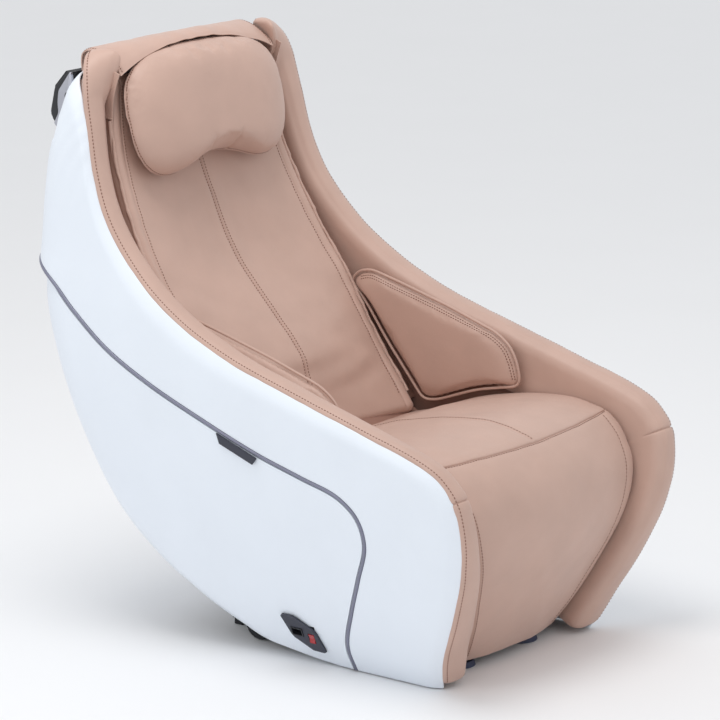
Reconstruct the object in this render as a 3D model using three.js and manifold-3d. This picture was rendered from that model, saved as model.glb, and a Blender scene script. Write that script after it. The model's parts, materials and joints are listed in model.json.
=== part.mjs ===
// A compact tilting massage chair, in millimetres, +Z up, facing -Y.
// The origin is on the floor under the middle of the chair's bounding box.
// "Right" and "left" are the sitter's: right is -X, left is +X.
import * as THREE from 'three';
import { mergeVertices } from 'three/addons/utils/BufferGeometryUtils.js';
import Module from 'manifold-3d';

const wasm = await Module();
wasm.setup();

// ---------------------------------------------------------------- dimensions
const SHELL = 5;                // wall of the moulded outer panels
const GAP = 6;                  // air between the panels and what they cover
const CORNER = 90;              // plan radius of the rear corners
const RIM_ROLL = 10;            // how far the panels roll inward at the rim
const RIM_ROLL_WIDTH = 30;      // and over what width
const TRIM_HALF = 3;            // half the width of the trim strip
const CREST = 10;               // how far the bolsters stand above the panel rim

const TILT_AXIS = { y: -50, z: 220 };      // the chair tips back about this line
const TILT_SHAFT = 12;                     // radius
const KNEE_AXIS = { y: -372, z: 372 };     // the leg rest swings about this line
const KNEE_SHAFT = 9;                      // radius
const BEARING_PLAY = 0.6;                  // radial play of the steel bearings

const WHEEL = { x: 194, y: 48, z: 33, radius: 32, width: 20, bore: 5.6, axle: 5 };

const JACK_BASE = { y: 130, z: 45 };       // lower pivot of the tilt jack
const JACK_TOP = { y: -180, z: 110 };      // upper pivot, at rest
const JACK_PIN = 5;                        // radius of both pivot pins

const RAIL_START = { y: 225, z: 420 };     // foot of the massage carriage rails
const RAIL_END = { y: 445, z: 780 };       // and their top
const CARRIAGE_AT = 200;                   // carriage position along the rails
const ROLLER = { radius: 24, bore: 5, width: 24, reach: 62, proud: 26 };

// --------------------------------------------------------------- small tools
const chair = new THREE.Group();
const SIDES = [['right', -1], ['left', 1]];

function add(name, geometry, look, parent = chair) {
  const mesh = new THREE.Mesh(geometry, look);
  mesh.name = name;
  parent.add(mesh);
  return mesh;
}

function finish(color, roughness, metalness = 0) {
  return new THREE.MeshStandardMaterial({ color, roughness, metalness });
}

// A smooth function of one variable through pairs of [where, value].
function profile(pairs) {
  const slopes = pairs.map((pair, i) => {
    const before = pairs[Math.max(i - 1, 0)];
    const after = pairs[Math.min(i + 1, pairs.length - 1)];
    return (after[1] - before[1]) / (after[0] - before[0]);
  });
  return (t) => {
    if (t <= pairs[0][0]) return pairs[0][1];
    const last = pairs.length - 1;
    if (t >= pairs[last][0]) return pairs[last][1];
    const i = pairs.findIndex((pair) => pair[0] > t) - 1;
    const width = pairs[i + 1][0] - pairs[i][0];
    const u = (t - pairs[i][0]) / width;
    const rise = pairs[i + 1][1] - pairs[i][1];
    const cubic = u * (1 - u) * ((1 - u) * (slopes[i] * width - rise) + u * (rise - slopes[i + 1] * width));
    return pairs[i][1] + u * rise + cubic;
  };
}

// Evenly spaced stations along a smooth curve through [s, z] points.
function stations(points, count) {
  const corners = points.map(([s, z]) => new THREE.Vector3(0, s, z));
  const curve = new THREE.CatmullRomCurve3(corners, false, 'centripetal');
  return curve.getSpacedPoints(count - 1).map((p) => new THREE.Vector2(p.y, p.z));
}

// Unit normals of such a row of stations, to the left of the direction of travel.
function normals(row) {
  return row.map((p, i) => {
    const along = row[Math.min(i + 1, row.length - 1)].clone().sub(row[Math.max(i - 1, 0)]).normalize();
    return new THREE.Vector2(-along.y, along.x);
  });
}

function shifted(row, distance) {
  const out = normals(row);
  return row.map((p, i) => p.clone().addScaledVector(out[i], distance));
}

function closedBody(points, faces) {
  let volume = 0;
  for (const [a, b, c] of faces) volume += points[a].dot(points[b].clone().cross(points[c]));
  const index = volume < 0 ? faces.flatMap(([a, b, c]) => [a, c, b]) : faces.flat();
  const geometry = new THREE.BufferGeometry().setFromPoints(points);
  geometry.setIndex(index);
  return geometry;
}

// A closed plate between two equal grids of points, front[row][column] and back.
function plateBetween(front, back) {
  const rows = front.length;
  const cols = front[0].length;
  const at = (side, i, j) => side * rows * cols + i * cols + j;
  const faces = [];
  const quad = (a, b, c, d) => faces.push([a, b, c], [a, c, d]);
  for (let i = 0; i < rows - 1; i++) {
    for (let j = 0; j < cols - 1; j++) {
      quad(at(0, i, j), at(0, i + 1, j), at(0, i + 1, j + 1), at(0, i, j + 1));
      quad(at(1, i, j), at(1, i, j + 1), at(1, i + 1, j + 1), at(1, i + 1, j));
    }
  }
  const border = [];
  for (let j = 0; j < cols - 1; j++) border.push([0, j]);
  for (let i = 0; i < rows - 1; i++) border.push([i, cols - 1]);
  for (let j = cols - 1; j > 0; j--) border.push([rows - 1, j]);
  for (let i = rows - 1; i > 0; i--) border.push([i, 0]);
  border.forEach((a, k) => {
    const b = border[(k + 1) % border.length];
    quad(at(0, ...a), at(0, ...b), at(1, ...b), at(1, ...a));
  });
  return closedBody([...front.flat(), ...back.flat()], faces);
}

// A closed body through a row of closed sections with equal point counts.
function loft(sections) {
  const size = sections[0].length;
  const points = sections.flat();
  const faces = [];
  for (let i = 0; i < sections.length - 1; i++) {
    for (let j = 0; j < size; j++) {
      const a = i * size + j;
      const b = i * size + ((j + 1) % size);
      faces.push([a, a + size, b + size], [a, b + size, b]);
    }
  }
  for (const [first, last] of [[0, false], [(sections.length - 1) * size, true]]) {
    const centre = new THREE.Vector3();
    for (let j = 0; j < size; j++) centre.addScaledVector(points[first + j], 1 / size);
    points.push(centre);
    for (let j = 0; j < size; j++) {
      const a = first + j;
      const b = first + ((j + 1) % size);
      faces.push(last ? [b, a, points.length - 1] : [a, b, points.length - 1]);
    }
  }
  return closedBody(points, faces);
}

function solid(geometry) {
  const bare = geometry.clone();
  bare.deleteAttribute('normal');
  bare.deleteAttribute('uv');
  const merged = mergeVertices(bare, 1e-4);
  const vertProperties = new Float32Array(merged.attributes.position.array);
  const triVerts = new Uint32Array(merged.index.array);
  return new wasm.Manifold(new wasm.Mesh({ numProp: 3, vertProperties, triVerts }));
}

function geometryOf(body) {
  const mesh = body.getMesh();
  const geometry = new THREE.BufferGeometry();
  geometry.setAttribute('position', new THREE.BufferAttribute(new Float32Array(mesh.vertProperties), 3));
  geometry.setIndex(new THREE.BufferAttribute(new Uint32Array(mesh.triVerts), 1));
  return geometry;
}

function joined(...geometries) {
  return geometryOf(geometries.map(solid).reduce((all, one) => all.add(one)));
}

function cut(geometry, ...tools) {
  return geometryOf(tools.map(solid).reduce((rest, tool) => rest.subtract(tool), solid(geometry)));
}

// A box from its lowest to its highest corner.
function block(low, high) {
  const box = new THREE.BoxGeometry(high[0] - low[0], high[1] - low[1], high[2] - low[2]);
  return box.translate((high[0] + low[0]) / 2, (high[1] + low[1]) / 2, (high[2] + low[2]) / 2);
}

// A round bar along X.
function barX(radius, x0, x1, y, z, sides = 20) {
  const bar = new THREE.CylinderGeometry(radius, radius, Math.abs(x1 - x0), sides);
  return bar.rotateZ(Math.PI / 2).translate((x0 + x1) / 2, y, z);
}

// A round bar between two points of the side view, at one x.
function barYZ(radius, x, from, to, sides = 10) {
  const along = new THREE.Vector3(0, to.y - from.y, to.z - from.z);
  const bar = new THREE.CylinderGeometry(radius, radius, along.length(), sides);
  const turn = new THREE.Quaternion().setFromUnitVectors(new THREE.Vector3(0, 1, 0), along.normalize());
  bar.applyQuaternion(turn);
  return bar.translate(x, (from.y + to.y) / 2, (from.z + to.z) / 2);
}

// A flat plate of a side-view outline of [y, z] points, from x0 to x1, with round holes.
function plateX(outline, x0, x1, holes = []) {
  const shape = new THREE.Shape(outline.map(([y, z]) => new THREE.Vector2(y, z)));
  const [low, high] = [Math.min(x0, x1), Math.max(x0, x1)];
  const plate = new THREE.ExtrudeGeometry(shape, { depth: high - low, bevelEnabled: false });
  // local x, y, z become world y, z, x
  plate.applyMatrix4(new THREE.Matrix4().makeBasis(
    new THREE.Vector3(0, 1, 0), new THREE.Vector3(0, 0, 1), new THREE.Vector3(1, 0, 0)));
  plate.translate(low, 0, 0);
  if (!holes.length) return plate;
  return cut(plate, ...holes.map(({ y, z, radius }) => barX(radius, low - 1, high + 1, y, z, 24)));
}

// A ring turned about the X axis, between two radii and two x positions.
function ringX(inner, outer, x0, x1, y, z, sides = 24, chamfer = 0) {
  const a = Math.min(x0, x1);
  const b = Math.max(x0, x1);
  const outline = [
    [inner, a], [outer - chamfer, a], [outer, a + chamfer], [outer, b - chamfer],
    [outer - chamfer, b], [inner, b], [inner, a],
  ].filter((p, i, all) => i === 0 || p[0] !== all[i - 1][0] || p[1] !== all[i - 1][1]);
  const ring = new THREE.LatheGeometry(outline.map(([r, h]) => new THREE.Vector2(r, h)), sides);
  return ring.rotateZ(-Math.PI / 2).translate(0, y, z);
}

const steel = finish(0x3a3d42, 0.45, 0.8);
const zinc = finish(0xa8acb2, 0.35, 0.9);
const blackPlastic = finish(0x1b1c20, 0.5);
const rubber = finish(0x151518, 0.85);
const whiteSkin = finish(0xe2e8f0, 0.45);
const trimGrey = finish(0x9a9aa8, 0.4, 0.4);
const aluminium = finish(0xb9bbc4, 0.3, 0.9);
const charcoal = finish(0x2c2e38, 0.5);
const beige = finish(0xc9a898, 0.55);
const rollerNylon = finish(0xd8c9a8, 0.5);
const red = finish(0xa01a22, 0.3);

// ---------------------------------------------------- the moulded outer form
// Half the outer width at a height.
const halfWidth = profile([
  [0, 236], [45, 262], [100, 284], [200, 313], [300, 334], [400, 345], [500, 349], [600, 344],
  [700, 333], [800, 324], [900, 316], [960, 311], [1020, 303], [1060, 292],
]);
// The rearmost line of the upper panels, and of the lower panels, which are set in under them.
const upperRear = profile([
  [640, 494], [700, 490], [780, 488], [840, 483], [890, 473], [950, 453], [1004, 433], [1060, 418],
]);
const lowerRear = profile([
  [2, -150], [10, -75], [23, 0], [46, 48], [92, 135], [150, 225], [218, 300], [300, 355],
  [371, 390], [431, 415], [507, 442], [592, 467], [660, 474], [700, 476],
]);
const upperCorner = () => CORNER;
const lowerCorner = profile([[0, 24], [80, 36], [200, 70], [320, CORNER]]);
// Half the clear width between the two bolsters.
const innerWidth = profile([
  [2, 160], [28, 169], [95, 197], [161, 223], [224, 245], [273, 262], [316, 273], [357, 281],
  [406, 286], [500, 285], [600, 277], [700, 268], [800, 260], [900, 250], [960, 240], [1020, 226],
  [1060, 215],
]);

// The upper panel's free edge, from the floor at the front, along the arm, to the rear seam.
// First value: the way round the side, which is y until the rear corner begins.
const ARM_EDGE = [
  [-382, 2], [-410, 72], [-450, 155], [-481, 240], [-490, 310], [-479, 370], [-448, 408], [-398, 432],
  [-295, 462], [-125, 510], [5, 548], [125, 600], [220, 665], [300, 755], [335, 835], [357, 930],
];
const RIM = [...ARM_EDGE, [380, 978], [425, 1003], [473, 1006]];
// The upholstered wing rises a little above the panel at the top of the back.
const WING = [...ARM_EDGE, [374, 978], [398, 1012], [424, 1035], [448, 1042]];
// The trim strip, from the floor, up, and round the back.
const TRIM = [
  [-200, 2], [-204, 54], [-232, 125], [-262, 195], [-288, 265], [-278, 312], [-240, 345], [-158, 369],
  [-65, 395], [66, 442], [180, 487], [278, 536], [354, 591], [420, 645], [486, 672], [545, 685],
];
const UPPER_REAR_SEAM = 688;    // height of the trim on the flat of the back
const TOP_EDGE = 1006;          // top of the rear panel

// A point of the outer form: side, way round, height, and depth under the surface.
function formPoint(side, s, z, depth, rear = upperRear, corner = upperCorner) {
  const half = halfWidth(z) - depth;
  const radius = corner(z);
  const bend = rear(z) - radius;
  if (s <= bend) return new THREE.Vector3(side * half, s, z);
  const turn = Math.min((s - bend) / radius, Math.PI / 2);
  const r = radius - depth;
  return new THREE.Vector3(side * (half - r + r * Math.cos(turn)), bend + r * Math.sin(turn), z);
}

function rimRoll(distance) {
  const near = Math.max(0, 1 - distance / RIM_ROLL_WIDTH);
  return RIM_ROLL * near * near;
}

const PANEL_STATIONS = 34;
const rim = stations(RIM, PANEL_STATIONS);
const trimLine = stations(TRIM, PANEL_STATIONS);

function sideShell(side) {
  const border = shifted(trimLine, TRIM_HALF + 0.5);
  const skin = (depth) => rim.map((edge, i) => {
    const width = edge.distanceTo(border[i]);
    return [0, 14 / width, 40 / width, 0.33, 0.5, 0.67, 0.84, 1].map((t) => {
      const p = edge.clone().lerp(border[i], t);
      return formPoint(side, p.x, p.y, depth + rimRoll(t * width));
    });
  });
  return plateBetween(skin(0), skin(SHELL));
}

function trimStrip(side) {
  const edges = [shifted(trimLine, -TRIM_HALF), shifted(trimLine, TRIM_HALF)];
  const skin = (depth) => trimLine.map((_, i) => edges.map(
    (edge) => formPoint(side, edge[i].x, edge[i].y, depth)));
  return plateBetween(skin(-0.8), skin(4));
}

// Where the lower side panel ends: along the floor and then up the rear corner.
const lowerEdgeHeights = [2, 10, 23, 46, 92, 150, 218, 300, 371, 431, 507, 592, 640, 683];
const lowerSeam = (z) => lowerRear(z) + lowerCorner(z) * (Math.PI / 2 - 1);
const LOWER_EDGE = [[-186, 2], ...lowerEdgeHeights.map((z) => [lowerSeam(z), z])];
// The lower panel's upper border: the trim's line, brought to the lower panel's own seam.
const LOWER_TOP = [...TRIM.slice(0, -2), [468, 668], [lowerSeam(683) - 1, 683]];

function lowerPanel(side) {
  const top = shifted(stations(LOWER_TOP, PANEL_STATIONS), -(TRIM_HALF + 1.6));
  const edge = stations(LOWER_EDGE, PANEL_STATIONS);
  const skin = (depth) => top.map((p, i) => [0, 0.25, 0.5, 0.75, 0.9, 1].map((t) => {
    const q = p.clone().lerp(edge[i], t);
    return formPoint(side, q.x, Math.max(q.y, 2), depth, lowerRear, lowerCorner);
  }));
  return plateBetween(skin(0), skin(SHELL));
}

// A curved panel across the back, between the two side panels.
function rearPanel(heights, rear, corner, setIn = () => 0) {
  const columns = [-1, -0.5, 0, 0.5, 1];
  const skin = (depth) => heights.map((z) => columns.map((c) => {
    const half = halfWidth(z) - corner(z) - 1;
    const y = rear(z) - depth - (Math.abs(c) < 1 ? setIn(z) : 0);
    return new THREE.Vector3(c * half, y, z);
  }));
  return plateBetween(skin(0), skin(SHELL));
}

// A hand pocket in the upper rear panel, under the grip.
const handPocket = (z) => 16 * Math.max(0, 1 - ((z - 945) / 62) ** 2);

for (const [word, side] of SIDES) {
  add(`side_shell_${word}`, sideShell(side), whiteSkin);
  add(`trim_strip_${word}`, trimStrip(side), trimGrey);
}
const rearHeights = [692, 750, 810, 860, 890, 915, 945, 975, 1000, TOP_EDGE];
add('rear_shell', rearPanel(rearHeights, upperRear, upperCorner, handPocket), whiteSkin);
const trimHalf = halfWidth(UPPER_REAR_SEAM) - CORNER - 1;
add('trim_strip_rear', block([-trimHalf, 483, 683], [trimHalf, 491.2, 689]), trimGrey);
const bellyHeights = [150, 184, 218, 258, 300, 335, 371, 431, 507, 592, 640, 681];
add('belly_cover', rearPanel(bellyHeights, lowerRear, lowerCorner), whiteSkin);

// --------------------------------------------------------- mains inlet plate
// The plate lies on the right lower panel, which leans out towards its top.
const PLATE = { y: -110, z: 62 };
const lean = Math.atan2(halfWidth(92) - halfWidth(32), 60);
const plateFrame = new THREE.Group();
plateFrame.matrixAutoUpdate = false;
plateFrame.matrix.makeBasis(
  new THREE.Vector3(0, -1, 0),
  new THREE.Vector3(-Math.sin(lean), 0, Math.cos(lean)),
  new THREE.Vector3(-Math.cos(lean), 0, -Math.sin(lean)));
plateFrame.matrix.setPosition(-halfWidth(PLATE.z) - 1.2, PLATE.y, PLATE.z);
chair.add(plateFrame);
const INLET = { x: -11, y: 3, width: 25, height: 17, depth: 12 };
const SWITCH = { x: 19, y: -7, width: 12, height: 18 };

function outlinePlate(points, depth) {
  const shape = new THREE.Shape(points.map(([x, y]) => new THREE.Vector2(x, y)));
  return new THREE.ExtrudeGeometry(shape, { depth, bevelEnabled: false });
}

// The space of a rectangular opening, grown by its clearance, from back to front of the plate.
function opening({ x, y, width, height }, grow, back, front) {
  const [w, h] = [width / 2 + grow, height / 2 + grow];
  return block([x - w, y - h, back], [x + w, y + h, front]);
}

const PLATE_OUTLINE = [
  [-40, 32], [-37, 36], [-14, 36], [-7, 33], [27, 12], [32, 4], [42, -33], [38, -35], [14, -34],
  [-22, -12], [-27, -5],
];
const plate = cut(outlinePlate(PLATE_OUTLINE, 4), opening(INLET, 0.3, -1, 5), opening(SWITCH, 1.2, -1, 5));
add('power_plate', plate, charcoal, plateFrame);

// The inlet: an open-fronted box with three blades.
const inletBox = outlinePlate([[-12.5, -8.5], [12.5, -8.5], [12.5, 8.5], [-12.5, 8.5]], INLET.depth + 2);
const inletHollow = outlinePlate([[-10.5, -6.5], [10.5, -6.5], [10.5, 6.5], [-10.5, 6.5]], INLET.depth);
const blades = [[-7, -2], [0, 2], [7, -2]].map(([x, y]) => block([x - 0.8, y - 2, 1], [x + 0.8, y + 2, 6]));
const inlet = joined(cut(inletBox, inletHollow.translate(0, 0, 2.5)), ...blades);
add('mains_inlet', inlet.translate(INLET.x, INLET.y, -INLET.depth + 3.4), blackPlastic, plateFrame);

// The rocker switch tips about a line across its middle.
const rockerOutline = [[-6, 0], [6, 0], [6, 4.6], [0, 3.4], [-6, 5.6]];
const rocker = new THREE.ExtrudeGeometry(
  new THREE.Shape(rockerOutline.map(([x, y]) => new THREE.Vector2(x, y))),
  { depth: SWITCH.width, bevelEnabled: false });
rocker.rotateX(Math.PI / 2).rotateZ(Math.PI / 2).scale(1, SWITCH.height / 12, 1);
rocker.translate(SWITCH.x - SWITCH.width / 2, SWITCH.y, -0.3);
add('rocker_switch', rocker, red, plateFrame);

// The lower panel on this side has a window behind the inlet.
for (const [word, side] of SIDES) {
  let panel = lowerPanel(side);
  if (side < 0) {
    const windows = [INLET, SWITCH].map((part) => opening(part, 2, -20, 6).applyMatrix4(plateFrame.matrix));
    panel = cut(panel, ...windows);
  }
  add(`lower_panel_${word}`, panel, whiteSkin);
}

// A blank badge hangs under the trim on the right side.
const badgeX = halfWidth(421) + 0.5;
add('badge_plate', plateX([[23, 421], [-67, 389], [-58, 377], [16, 403]], -badgeX - 2.6, -badgeX), charcoal);

// ------------------------------------------------------------- rear handle
const gripHalf = 236;
const gripOutline = [[455, 1000], [461, 1003], [488, 974], [499, 920], [490, 906], [481, 915], [473, 960]];
add('handle_grip', plateX(gripOutline, -gripHalf, gripHalf), blackPlastic);
const bracketOutline = [
  [450, 1000], [457, 1005], [489, 975], [500, 918], [484, 884], [478, 886], [468, 930], [458, 970],
];
for (const [word, side] of SIDES) {
  const hole = { y: 468, z: 958, radius: 6 };
  const bracket = plateX(bracketOutline, side * (gripHalf + 0.4), side * (gripHalf + 8.4), [hole]);
  add(`handle_bracket_${word}`, bracket, aluminium);
}

// ---------------------------------------------------------------- upholstery
// Padded side bolster: follows the rim, its crest above it, down to the seat.
const bolsterDepth = profile([
  [-400, 85], [-360, 72], [-200, 96], [0, 104], [200, 92], [330, 78], [440, 60],
]);
// How far the upholstered wing stands above the panel's rim, by the way round.
const wingRise = profile([[374, 0], [398, 22], [448, 36]]);
const BOLSTER_STATIONS = 36;

function bolster(side) {
  const line = stations(WING, BOLSTER_STATIONS);
  line[0].y += 12;
  const out = normals(line);
  const sections = line.map((p, i) => {
    const inner = halfWidth(p.y) - innerWidth(p.y);
    const outer = SHELL + GAP;
    const depth = bolsterDepth(p.y < 405 ? -400 : p.x);
    const outline = [
      [outer, -depth], [outer + RIM_ROLL, -4 - wingRise(p.x)], [outer + RIM_ROLL + 6, CREST * 0.7],
      [inner * 0.62, CREST],
      [inner - 10, CREST * 0.5], [inner, -12], [inner, -depth],
    ];
    return outline.map(([e, d]) => {
      const s = p.x + out[i].x * d;
      const z = Math.max(p.y + out[i].y * d, 3);
      return formPoint(side, s, z, e);
    });
  });
  return loft(sections);
}

for (const [word, side] of SIDES) {
  add(`side_bolster_${word}`, bolster(side), beige);
}

// The pad on the inside of each arm, beside the hips.
const HIP_PAD = [
  [198, 567], [177, 588], [147, 593], [88, 579], [-29, 548], [-143, 512], [-172, 492], [-188, 466],
  [-200, 419], [-99, 398], [-7, 364], [26, 360], [66, 408], [112, 462], [160, 528],
];
for (const [word, side] of SIDES) {
  add(`hip_pad_${word}`, plateX(HIP_PAD, side * 258, side * 271), beige);
}

// Seat cushion: crowned across, falling back to the crease.
const SEAT = { front: -345, rear: 25, half: 271 };
const seatCentre = profile([[-345, 421], [-300, 424], [-200, 411], [-100, 390], [-30, 362], [25, 342]]);
const seatEdge = profile([[-345, 408], [-300, 414], [-200, 406], [-100, 384], [-30, 355], [25, 340]]);
const seatUnderside = (y) => 345 - (y - SEAT.front) * 0.143;

function seatCushion() {
  const columns = [-1, -0.86, -0.5, 0, 0.5, 0.86, 1];
  const rows = [0, 0.06, 0.2, 0.4, 0.6, 0.8, 1].map((t) => SEAT.front + t * (SEAT.rear - SEAT.front));
  const top = rows.map((y) => columns.map((c) => {
    const round = Math.abs(c) === 1 ? 14 : 0;
    const z = seatCentre(y) + (seatEdge(y) - seatCentre(y)) * c * c - round;
    return new THREE.Vector3(c * SEAT.half, y, z);
  }));
  const bottom = rows.map((y) => columns.map((c) => new THREE.Vector3(c * SEAT.half, y, seatUnderside(y))));
  return plateBetween(top, bottom);
}
add('seat_cushion', seatCushion(), beige);

// Back cushion: a thin pad over the massage window, full at the lumbar, hollow above.
const BACK_THICKNESS = 27;
const backCentre = profile([
  [350, 62], [418, 87], [473, 104], [525, 144], [575, 193], [629, 243], [679, 278], [746, 312],
  [827, 346], [900, 366], [985, 385],
]);
const backEdge = profile([
  [350, 34], [387, 61], [447, 108], [517, 155], [597, 205], [649, 244], [717, 285], [783, 318],
  [850, 344], [930, 362], [985, 370],
]);
const backHalf = profile([[350, 250], [600, 252], [700, 246], [800, 236], [900, 226], [985, 212]]);

function backCushion() {
  const heights = [352, 385, 420, 455, 490, 530, 570, 610, 650, 700, 750, 810, 870, 930, 985];
  const columns = [-1, -0.85, -0.5, 0, 0.5, 0.85, 1];
  const front = heights.map((z) => columns.map((c) => {
    const round = Math.abs(c) === 1 ? 8 : 0;
    const y = backCentre(z) + (backEdge(z) - backCentre(z)) * c * c + round;
    return new THREE.Vector3(c * backHalf(z), y, z);
  }));
  const back = front.map((row, i) => {
    const slope = Math.atan2(backCentre(heights[i] + 10) - backCentre(heights[i] - 10), 20);
    return row.map((p) => new THREE.Vector3(
      p.x, p.y + BACK_THICKNESS * Math.cos(slope), p.z - BACK_THICKNESS * Math.sin(slope)));
  });
  return plateBetween(front, back);
}
add('back_cushion', backCushion(), beige);

// The padded roll across the top of the back, and the pillow's flap laid over it.
const ROLL = { y: 404, z: 1013, radius: 16, half: 186 };
add('top_roll', barX(ROLL.radius, -ROLL.half, ROLL.half, ROLL.y, ROLL.z, 16), beige);

// The flap in the side view, from behind the rear panel up and over: [y, z] outside, then inside.
const FLAP = [
  [[442, 1000], [435, 1001]], [[444, 1020], [437.5, 1019]], [[441, 1038], [435, 1034.5]],
  [[430, 1048], [427, 1041.5]], [[416, 1051], [415, 1044.5]], [[400, 1051], [400, 1044.5]],
];
const FLAP_HALF = 204;
const flapSkin = (layer) => FLAP.map((pair) => [-1, 0, 1].map((c) => new THREE.Vector3(
  c * FLAP_HALF, pair[layer][0], pair[layer][1])));
add('pillow_flap', plateBetween(flapSkin(0), flapSkin(1)), beige);

// The head pillow: a half-moon, shallowly waisted under its middle, leaning with the back.
const PILLOW = { y: 320, z: 930, lean: 0.22, thickness: 72, bevel: 12, overhang: 10 };
const pillowShape = new THREE.Shape();
pillowShape.moveTo(0, -90);
pillowShape.bezierCurveTo(-50, -91, -84, -108, -128, -110);
pillowShape.bezierCurveTo(-184, -110, -214, -74, -215, -14);
pillowShape.bezierCurveTo(-221, 74, -184, 116, 0, 116);
pillowShape.bezierCurveTo(184, 116, 221, 74, 215, -14);
pillowShape.bezierCurveTo(214, -74, 184, -110, 128, -110);
pillowShape.bezierCurveTo(84, -108, 50, -91, 0, -90);
const pillow = new THREE.ExtrudeGeometry(pillowShape, {
  depth: PILLOW.thickness - 2 * PILLOW.bevel, bevelEnabled: true, bevelThickness: PILLOW.bevel,
  bevelSize: PILLOW.overhang, bevelSegments: 2, curveSegments: 6,
});
pillow.translate(0, 0, PILLOW.bevel - PILLOW.thickness / 2).rotateX(Math.PI / 2 - PILLOW.lean);
add('head_pillow', pillow.translate(0, PILLOW.y, PILLOW.z), beige);

// ------------------------------------------------------------------ leg rest
const kneeFront = profile([
  [22, -374], [95, -419], [160, -451], [225, -473], [280, -480], [330, -473], [360, -460], [386, -437],
]);
const kneeSide = profile([
  [22, -352], [95, -392], [161, -422], [224, -445], [273, -452], [316, -451], [357, -437], [386, -412],
]);
const legHalf = profile([
  [22, 156], [95, 190], [161, 217], [224, 239], [273, 255], [316, 266], [357, 274], [386, 278],
]);
const LEG_HEIGHTS = [22, 60, 95, 130, 161, 195, 225, 255, 285, 315, 340, 365, 386];
const LEG_THICKNESS = 40;

function legSheet(front, back, inset, low, high) {
  const columns = [-1, -0.88, -0.5, 0, 0.5, 0.88, 1];
  const heights = LEG_HEIGHTS.filter((z) => z >= low && z <= high);
  const skin = (depth) => heights.map((z) => columns.map((c) => {
    const round = Math.abs(c) === 1 && depth === front ? 10 : 0;
    const y = kneeFront(z) + (kneeSide(z) - kneeFront(z)) * c * c + depth + round;
    return new THREE.Vector3(c * (legHalf(z) - inset), y, z);
  }));
  return plateBetween(skin(front), skin(back));
}
add('leg_rest_pad', legSheet(0, LEG_THICKNESS, 0, 22, 386), beige);

// The leg rest's steel tray, its two hinge ears and the shaft through them.
const ears = SIDES.map(([, side]) => plateX(
  [
    [-372, 388], [-388, 372], [-402, 350], [-416, 325], [-416, 290], [-392, 290], [-380, 345],
    [-358, 366], [-360, 384],
  ],
  side * 182, side * 190));
const kneeShaft = barX(KNEE_SHAFT, -206, 206, KNEE_AXIS.y, KNEE_AXIS.z);
const tray = legSheet(LEG_THICKNESS + 1.5, LEG_THICKNESS + 9, 26, 60, 340);
add('leg_rest_tray', joined(tray, ...ears, kneeShaft), steel);

// ------------------------------------------------------- tilting steel frame
const boss = { y: TILT_AXIS.y, z: TILT_AXIS.z, radius: TILT_SHAFT + BEARING_PLAY };
const kneeBore = { y: KNEE_AXIS.y, z: KNEE_AXIS.z, radius: KNEE_SHAFT + BEARING_PLAY };

function seatFrame() {
  const pieces = [
    block([-232, -330, 262], [232, -305, 287]),
    block([-232, -200, 266], [232, -180, 287]),
    block([-232, 190, 262], [232, 215, 287]),
  ];
  for (const [, side] of SIDES) {
    const low = side > 0 ? 212 : -232;
    pieces.push(block([low, -330, 262], [low + 20, 215, 287]));
    const hanger = [[-80, 270], [-80, 215], [-62, 196], [-38, 196], [-20, 215], [40, 270]];
    pieces.push(plateX(hanger, side * 210, side * 219, [boss]));
    const kneeEar = [
      [-330, 265], [-306, 265], [-306, 290], [-349, 336], [-356, 370], [-363, 385], [-379, 386], [-387, 374],
      [-380, 358], [-362, 330],
    ];
    pieces.push(plateX(kneeEar, side * 194, side * 202, [kneeBore]));
    const lug = [[-200, 270], [-182, 270], [-166, 112], [-172, 96], [-188, 96], [-196, 112]];
    pieces.push(plateX(lug, side * 19, side * 25));
  }
  pieces.push(barX(JACK_PIN, -25, 25, JACK_TOP.y, JACK_TOP.z, 16));
  return joined(...pieces);
}
add('seat_frame', seatFrame(), steel);

const railAlong = new THREE.Vector2(RAIL_END.y - RAIL_START.y, RAIL_END.z - RAIL_START.z);
const RAIL_LENGTH = railAlong.length();
railAlong.normalize();
// A point of the side view, from a distance along the rails and one in front of them.
const onRail = (along, front) => ({
  y: RAIL_START.y + railAlong.x * along - railAlong.y * front,
  z: RAIL_START.z + railAlong.y * along + railAlong.x * front,
});

const backFoot = onRail(-145, 0);
const backTop = onRail(RAIL_LENGTH + 18, 0);
add('back_frame', joined(
  ...SIDES.map(([, side]) => barYZ(12, side * 205, backFoot, backTop)),
  barX(10, -205, 205, onRail(-60, 0).y, onRail(-60, 0).z, 12),
  barX(10, -205, 205, onRail(RAIL_LENGTH + 13, 0).y, onRail(RAIL_LENGTH + 13, 0).z, 12)), steel);

// Everything along the rails is laid out flat and then turned into the rails' slope.
const railFrame = new THREE.Group();
railFrame.position.set(0, RAIL_START.y, RAIL_START.z);
railFrame.rotation.x = Math.atan2(railAlong.y, railAlong.x);
chair.add(railFrame);
// In this group y runs up the rails and z stands out in front of them.
for (const [word, side] of SIDES) {
  const bar = block([side * 155 - 5, 0, -8], [side * 155 + 5, RAIL_LENGTH, 8]);
  add(`guide_rail_${word}`, bar, zinc, railFrame);
}
const SCREW_BACK = -26;
const screw = new THREE.CylinderGeometry(6, 6, RAIL_LENGTH, 12).translate(0, RAIL_LENGTH / 2, SCREW_BACK);
add('lead_screw', screw, zinc, railFrame);

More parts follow.
